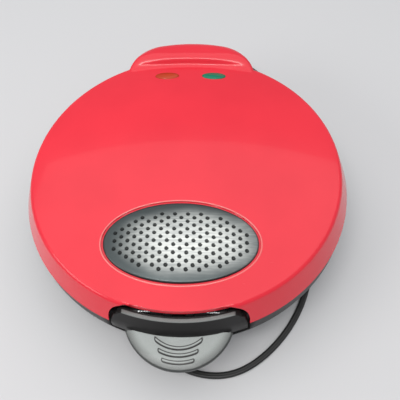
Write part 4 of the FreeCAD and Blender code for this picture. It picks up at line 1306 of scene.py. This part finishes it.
        # The depth share drives the painted shade in the dimples.
        sunk = work.verts.layers.float.new("sunk")
        rings = []
        for share, drop in self.cup_profile:
            radius, z = self.dimple_radius * share, -self.dimple_depth * drop
            ring = []
            for c, s in circle(self.dimple_sides):
                ring.append(work.verts.new(Vector((radius * c, radius * s, z)) * MM))
                ring[-1][sunk] = drop
            rings.append(ring)
        bridge(work, rings[::-1])
        work.faces.new(rings[-1])
        return plain_mesh(work, "oval_plate_cup")

    def lip_mesh(self) -> bpy.types.Mesh:
        """Low rounded lip of the lid round the plate's recess.

        Returns:
            The mesh.
        """
        work = bmesh.new()
        rings = []
        for offset, height in self.lip_profile:
            outline = self.ring(-self.lip_offset - offset)
            rings.append([work.verts.new(self.over_dome(x, y, height)) for x, y in outline])
        bridge(work, rings + rings[:1])
        mesh = plain_mesh(work, "oval_lip")
        shade_smooth(mesh, self.sharp_turn)
        return mesh

    def spots_mesh(self) -> bpy.types.Mesh:
        """Points at the dimples, each with the direction away from the face.

        Returns:
            The mesh of loose points.
        """
        middles = self.dimples()
        mesh = bpy.data.meshes.new("oval_plate_spots")
        mesh.from_pydata([tuple(self.spot(x, y)) for x, y in middles], [], [])
        away = mesh.attributes.new("away", "FLOAT_VECTOR", "POINT")
        step = self.probe
        for index, (x, y) in enumerate(middles):
            along = self.spot(x + step, y) - self.spot(x - step, y)
            across = self.spot(x, y + step) - self.spot(x, y - step)
            away.data[index].vector = along.cross(across).normalized()
        return mesh

    def build(self, finishes: Finishes) -> list[bpy.types.Object]:
        """Make the plate, its dimples and the lip round its recess.

        Args:
            finishes: Materials by slot.

        Returns:
            The three pieces.
        """
        silver = finishes["silver_trim"]
        face = link_mesh("oval_plate_face", self.face_mesh(), silver)
        carrier = link_mesh("oval_plate_dimples", self.spots_mesh(), silver)
        dimples = scatter(carrier, link_mesh("oval_plate_cup", self.cup_mesh(), silver), silver)
        settle(face, Body.LID, "silver_trim", "oval_plate")
        settle(dimples, Body.LID, "silver_trim", "oval_plate")
        # The lip's paler red is a painted highlight.
        lip = link_mesh("oval_lip", self.lip_mesh(), finishes["red_edge"])
        settle(lip, Body.LID, "red_plastic")
        return [face, dimples, lip]


def scatter_tree() -> bpy.types.NodeTree:
    """Geometry Nodes that set one unit on every point, turned to the point's "away" direction.

    Returns:
        The tree, with inputs Points, Unit and Finish.
    """
    tree = bpy.data.node_groups.new("scatter_units", "GeometryNodeTree")
    for name, kind in (("Points", "Geometry"), ("Unit", "Object"), ("Finish", "Material")):
        tree.interface.new_socket(name, in_out="INPUT", socket_type="NodeSocket" + kind)
    tree.interface.new_socket("Mesh", in_out="OUTPUT", socket_type="NodeSocketGeometry")
    kinds = {
        "start": "NodeGroupInput", "info": "GeometryNodeObjectInfo",
        "away": "GeometryNodeInputNamedAttribute", "turn": "FunctionNodeAlignRotationToVector",
        "set": "GeometryNodeInstanceOnPoints", "real": "GeometryNodeRealizeInstances",
        "paint": "GeometryNodeSetMaterial", "end": "NodeGroupOutput",
    }
    made = {key: tree.nodes.new(kind) for key, kind in kinds.items()}
    made["away"].data_type = "FLOAT_VECTOR"
    made["away"].inputs["Name"].default_value = "away"
    made["turn"].axis = "Z"
    joins = (
        ("start", "Points", "set", "Points"), ("start", "Unit", "info", "Object"),
        ("info", "Geometry", "set", "Instance"), ("away", "Attribute", "turn", "Vector"),
        ("turn", "Rotation", "set", "Rotation"), ("set", "Instances", "real", "Geometry"),
        ("real", "Geometry", "paint", "Geometry"), ("start", "Finish", "paint", "Material"),
        ("paint", "Geometry", "end", "Mesh"),
    )
    for source, out, target, into in joins:
        tree.links.new(made[source].outputs[out], made[target].inputs[into])
    return tree


def scatter(
    carrier: bpy.types.Object, unit: bpy.types.Object, finish: bpy.types.Material
) -> bpy.types.Object:
    """Set one unit on every point of a carrier, and keep the result as a plain mesh.

    Args:
        carrier: Points with an "away" direction each.
        unit: Object to repeat; removed afterwards.
        finish: Material of the result.

    Returns:
        The carrier, now holding the repeated mesh.
    """
    modifier = carrier.modifiers.new("scatter", "NODES")
    modifier.node_group = scatter_tree()
    sockets = {s.name: s.identifier for s in modifier.node_group.interface.items_tree}
    modifier[sockets["Unit"]] = unit
    modifier[sockets["Finish"]] = finish
    mesh = evaluated_mesh(carrier)
    carrier.modifiers.clear()
    mesh.materials.clear()
    mesh.materials.append(finish)
    mesh.polygons.foreach_set("use_smooth", [True] * len(mesh.polygons))
    carrier.data = mesh
    bpy.data.objects.remove(unit)
    return carrier


@dataclass
class SmoothParts:
    """CAD pieces whose form is right and only need their round faces shaded smooth."""

    slots: dict[str, str]
    angle: float = 32.0
    base_nodes: Sequence[str] = (
        "base_shell", "base_bezel", "lower_plate", "foot_pads", "latch_catch", "hinge_pins",
        "supply_lead", "lower_plate_screws", "base_screws",
    )
    lid_nodes: Sequence[str] = (
        "lid_liner", "upper_plate", "lid_screws", "power_lens", "ready_lens", "latch_pin",
        "latch_springs", "lid_lead", "upper_plate_screws",
    )
    latch_nodes: Sequence[str] = ("latch",)

    def build(self, finishes: Finishes) -> list[bpy.types.Object]:
        """Make the smooth pieces.

        Args:
            finishes: Materials by slot.

        Returns:
            The pieces.
        """
        made = []
        carried = [(node, Body.BASE) for node in self.base_nodes]
        carried += [(node, Body.LID) for node in self.lid_nodes]
        carried += [(node, Body.LATCH) for node in self.latch_nodes]
        for node, body in carried:
            slot = self.slots[node]
            mesh = merged_copy(node, self.angle)
            set_normals(mesh, broad_flats)
            piece = link_mesh(node + "_smooth", mesh, finishes[slot])
            made.append(settle(piece, body, slot, node))
        return made


@dataclass
class PowerCord:
    """Flat twin cord that follows the CAD route, with its sleeve and plug."""

    slot: str = "cord_rubber"
    width: float = 4.8
    thickness: float = 3.2
    waist: float = 0.2
    waist_reach: float = 0.3
    section_sides: int = 28
    cad_radius: float = 2.4
    floor_slack: float = 0.01
    length: float = 0.69
    line_order: int = 3
    line_steps: int = 10
    smooth_angle: float = 32.0
    route: Sequence[Place] = (
        (4.0, 134.0, 24.0), (4.0, 151.0, 23.0), (12.5, 165.7, 18.0), (27.2, 174.2, 11.0),
        (44.2, 174.2, 5.0), (58.9, 165.7, 2.4), (67.4, 151.0, 2.4), (70.0, 131.0, 2.4),
        (75.0, 108.0, 2.4), (83.0, 82.0, 2.4), (92.0, 54.0, 2.4), (98.5, 22.0, 2.4),
        (100.5, -14.0, 2.4), (97.0, -49.0, 2.4), (86.0, -84.0, 2.4), (65.0, -113.0, 2.4),
        (39.0, -131.5, 2.4), (11.0, -132.5, 2.4), (-13.0, -120.0, 2.4), (-26.0, -97.0, 2.4),
        (-29.0, -68.0, 2.4), (-26.0, -36.0, 2.4), (-22.0, -4.0, 2.4), (-22.5, 28.0, 2.4),
        (-25.0, 58.0, 2.4), (-29.0, 84.0, 4.2), (-31.0, 104.0, 6.0),
    )

    def section(self) -> bpy.types.Object:
        """Two-lobed outline of the cord, swept along the route.

        Returns:
            The outline's object, which stays out of the scene.
        """
        data = bpy.data.curves.new("cord_section", "CURVE")
        data.dimensions = "2D"
        outline = data.splines.new("POLY")
        outline.points.add(self.section_sides - 1)
        for point, (c, s) in zip(outline.points, circle(self.section_sides)):
            pinch = 1.0 - self.waist * math.exp(-((c / self.waist_reach) ** 2))
            point.co = (self.width / 2 * c * MM, self.thickness / 2 * s * pinch * MM, 0.0, 1.0)
        outline.use_cyclic_u = True
        return bpy.data.objects.new("cord_section", data)

    def line(self) -> bpy.types.Curve:
        """Curve along the route, let down to the floor where the flatter section lies lower.

        Returns:
            The curve with its section.
        """
        data = bpy.data.curves.new("power_cord_line", "CURVE")
        data.dimensions = "3D"
        data.twist_mode = "Z_UP"
        data.resolution_u = self.line_steps
        line = data.splines.new("NURBS")
        line.points.add(len(self.route) - 1)
        sink = self.cad_radius - self.thickness / 2
        for point, (x, y, z) in zip(line.points, self.route):
            low = z - sink if z < self.cad_radius + self.floor_slack else z
            point.co = (x * MM, (y + AXIS_Y) * MM, low * MM, 1.0)
        line.order_u = self.line_order
        line.use_endpoint_u = True
        data.bevel_mode = "OBJECT"
        data.bevel_object = self.section()
        data.use_fill_caps = True
        return data

    def smooth_end(self, node: str, finish: bpy.types.Material) -> bpy.types.Object:
        """Smooth copy of a moulded end of the cord.

        Args:
            node: Name of the CAD node.
            finish: Its material.

        Returns:
            The piece.
        """
        piece = link_mesh(node + "_smooth", merged_copy(node, self.smooth_angle), finish)
        return settle(piece, Body.BASE, self.slot, node)

    def build(self, finishes: Finishes) -> list[bpy.types.Object]:
        """Args:
            finishes: Materials by slot.

        Returns:
            The three pieces.
        """
        rubber = finishes[self.slot]
        data = self.line()
        data.materials.append(rubber)
        cord = bpy.data.objects.new("power_cord_twin", data)
        bpy.context.scene.collection.objects.link(cord)
        settle(cord, Body.BASE, self.slot, "power_cord")
        sleeve = self.smooth_end("strain_relief", rubber)
        plug = self.smooth_end("plug_body", rubber)
        return [cord, sleeve, plug]


@dataclass(frozen=True)
class Lamp:
    """A soft box: place, width and height in metres, power in watts, and colour."""

    name: str
    place: Place
    size: Range
    power: float
    tone: Colour


@dataclass
class Studio:
    """Pale floor, soft studio light and the photograph's camera."""

    target: Place = (11.10, -22.28, 60.0)
    distance: float = 405.7
    elevation: float = 57.37
    yaw: float = 4.61
    roll: float = -3.20
    focal_pixels: float = 560.0
    frame_pixels: float = 400.0
    sensor_width: float = 36.0
    clip_start: float = 0.01
    floor_size: float = 60.0
    floor_tone: Colour = (0.66, 0.66, 0.67)
    floor_shade: float = 0.97
    floor_noise: float = 3.0
    floor_detail: float = 2.0
    floor_roughness: float = 0.7
    world_tone: Colour = (0.82, 0.85, 0.9)
    world_strength: float = 0.42
    # Lamps face a place over the floor; those within the overhead distance hang level.
    aim_height: float = 0.05
    overhead: float = 0.4
    lamps: Sequence[Lamp] = (
        Lamp("ceiling_panel", (0.0, 0.39, 1.5), (2.6, 1.8), 15.5, (1.0, 0.99, 0.97)),
        Lamp("front_strip", (-0.08, -0.46, 1.3), (0.9, 0.14), 6.0, (1.0, 0.99, 0.97)),
        Lamp("left_box", (-1.1, -0.5, 0.8), (0.8, 0.5), 4.5, (1.0, 0.98, 0.95)),
    )

    def camera(self) -> None:
        """Set the camera at the photograph's place and angle."""
        yaw, lift, roll = (math.radians(a) for a in (self.yaw, self.elevation, self.roll))
        level = math.cos(lift)
        back = Vector((math.sin(yaw) * level, -math.cos(yaw) * level, math.sin(lift)))
        right = (-back).cross(Vector((0, 0, 1))).normalized()
        up = right.cross(-back)
        across = math.cos(roll) * right + math.sin(roll) * up
        top = -math.sin(roll) * right + math.cos(roll) * up
        x, y, z = self.target
        place = (Vector((x, y + AXIS_Y, z)) + back * self.distance) * MM
        data = bpy.data.cameras.new("photo_camera")
        data.sensor_width = self.sensor_width
        data.lens = self.focal_pixels * self.sensor_width / self.frame_pixels
        data.clip_start = self.clip_start
        camera = bpy.data.objects.new("photo_camera", data)
        turned = Matrix((across, top, back)).transposed().to_4x4()
        camera.matrix_world = Matrix.Translation(place) @ turned
        bpy.context.scene.collection.objects.link(camera)
        bpy.context.scene.camera = camera

    def light(self, lamp: Lamp) -> None:
        """Add a soft box that faces the appliance with its width level.

        Args:
            lamp: The soft box.
        """
        data = bpy.data.lights.new(lamp.name, "AREA")
        data.shape = "RECTANGLE"
        data.size, data.size_y = lamp.size
        data.energy = lamp.power
        data.color = lamp.tone
        box = bpy.data.objects.new(lamp.name, data)
        box.location = lamp.place
        x, y, z = lamp.place
        aside = math.hypot(x, y)
        if aside > self.overhead:
            box.rotation_euler = (math.atan2(aside, z - self.aim_height), 0.0, math.atan2(x, -y))
        bpy.context.scene.collection.objects.link(box)

    def floor(self) -> None:
        """Lay a plain pale floor under the appliance."""
        shader = Shader("studio_floor")
        darker = tuple(self.floor_shade * c for c in self.floor_tone)
        tone = shader.noise(self.floor_noise, self.floor_detail)
        shader.set(Base_Color=shader.mix(tone, self.floor_tone, darker))
        shader.set(Roughness=self.floor_roughness)
        work = bmesh.new()
        bmesh.ops.create_grid(work, x_segments=2, y_segments=2, size=self.floor_size / 2)
        link_mesh("studio_floor", plain_mesh(work, "studio_floor"), shader.material)

    def sky(self) -> None:
        """Fill the room with even light."""
        world = bpy.data.worlds.new("studio_world")
        world.use_nodes = True
        background = world.node_tree.nodes["Background"]
        background.inputs["Color"].default_value = rgba(self.world_tone)
        background.inputs["Strength"].default_value = self.world_strength
        bpy.context.scene.world = world

    def build(self) -> None:
        """Set up the floor, lights, world and camera."""
        self.floor()
        self.sky()
        for lamp in self.lamps:
            self.light(lamp)
        bpy.context.scene.view_settings.view_transform = "Standard"
        self.camera()


def paint_frame(finishes: Finishes, slots: dict[str, str]) -> None:
    """Give every CAD node its finish.

    Args:
        finishes: Materials by slot.
        slots: Slot of each CAD node.
    """
    for name, node in FRAME["nodes"].items():
        for index in range(max(1, len(node.material_slots))):
            if len(node.material_slots) <= index:
                node.data.materials.append(None)
            node.material_slots[index].link = "OBJECT"
            node.material_slots[index].material = finishes[slots[name]]


def main() -> None:
    """Build every piece, the studio and the camera."""
    logging.basicConfig(level=logging.INFO)
    slots = {s["node"]: s["material_slot"] for s in FRAME["record"]["subparts"]}
    finishes = {finish.slot: finish.make() for finish in FINISHES}
    paint_frame(finishes, slots)
    lid = LidSkin()
    for assembly in (lid, OvalPlate(lid), SmoothParts(slots), PowerCord()):
        for piece in assembly.build(finishes):
            LOG.info("%s: %s", type(assembly).__name__, piece.name)
    Studio().build()
    bpy.context.view_layer.update()


if __name__ == "__main__":
    main()
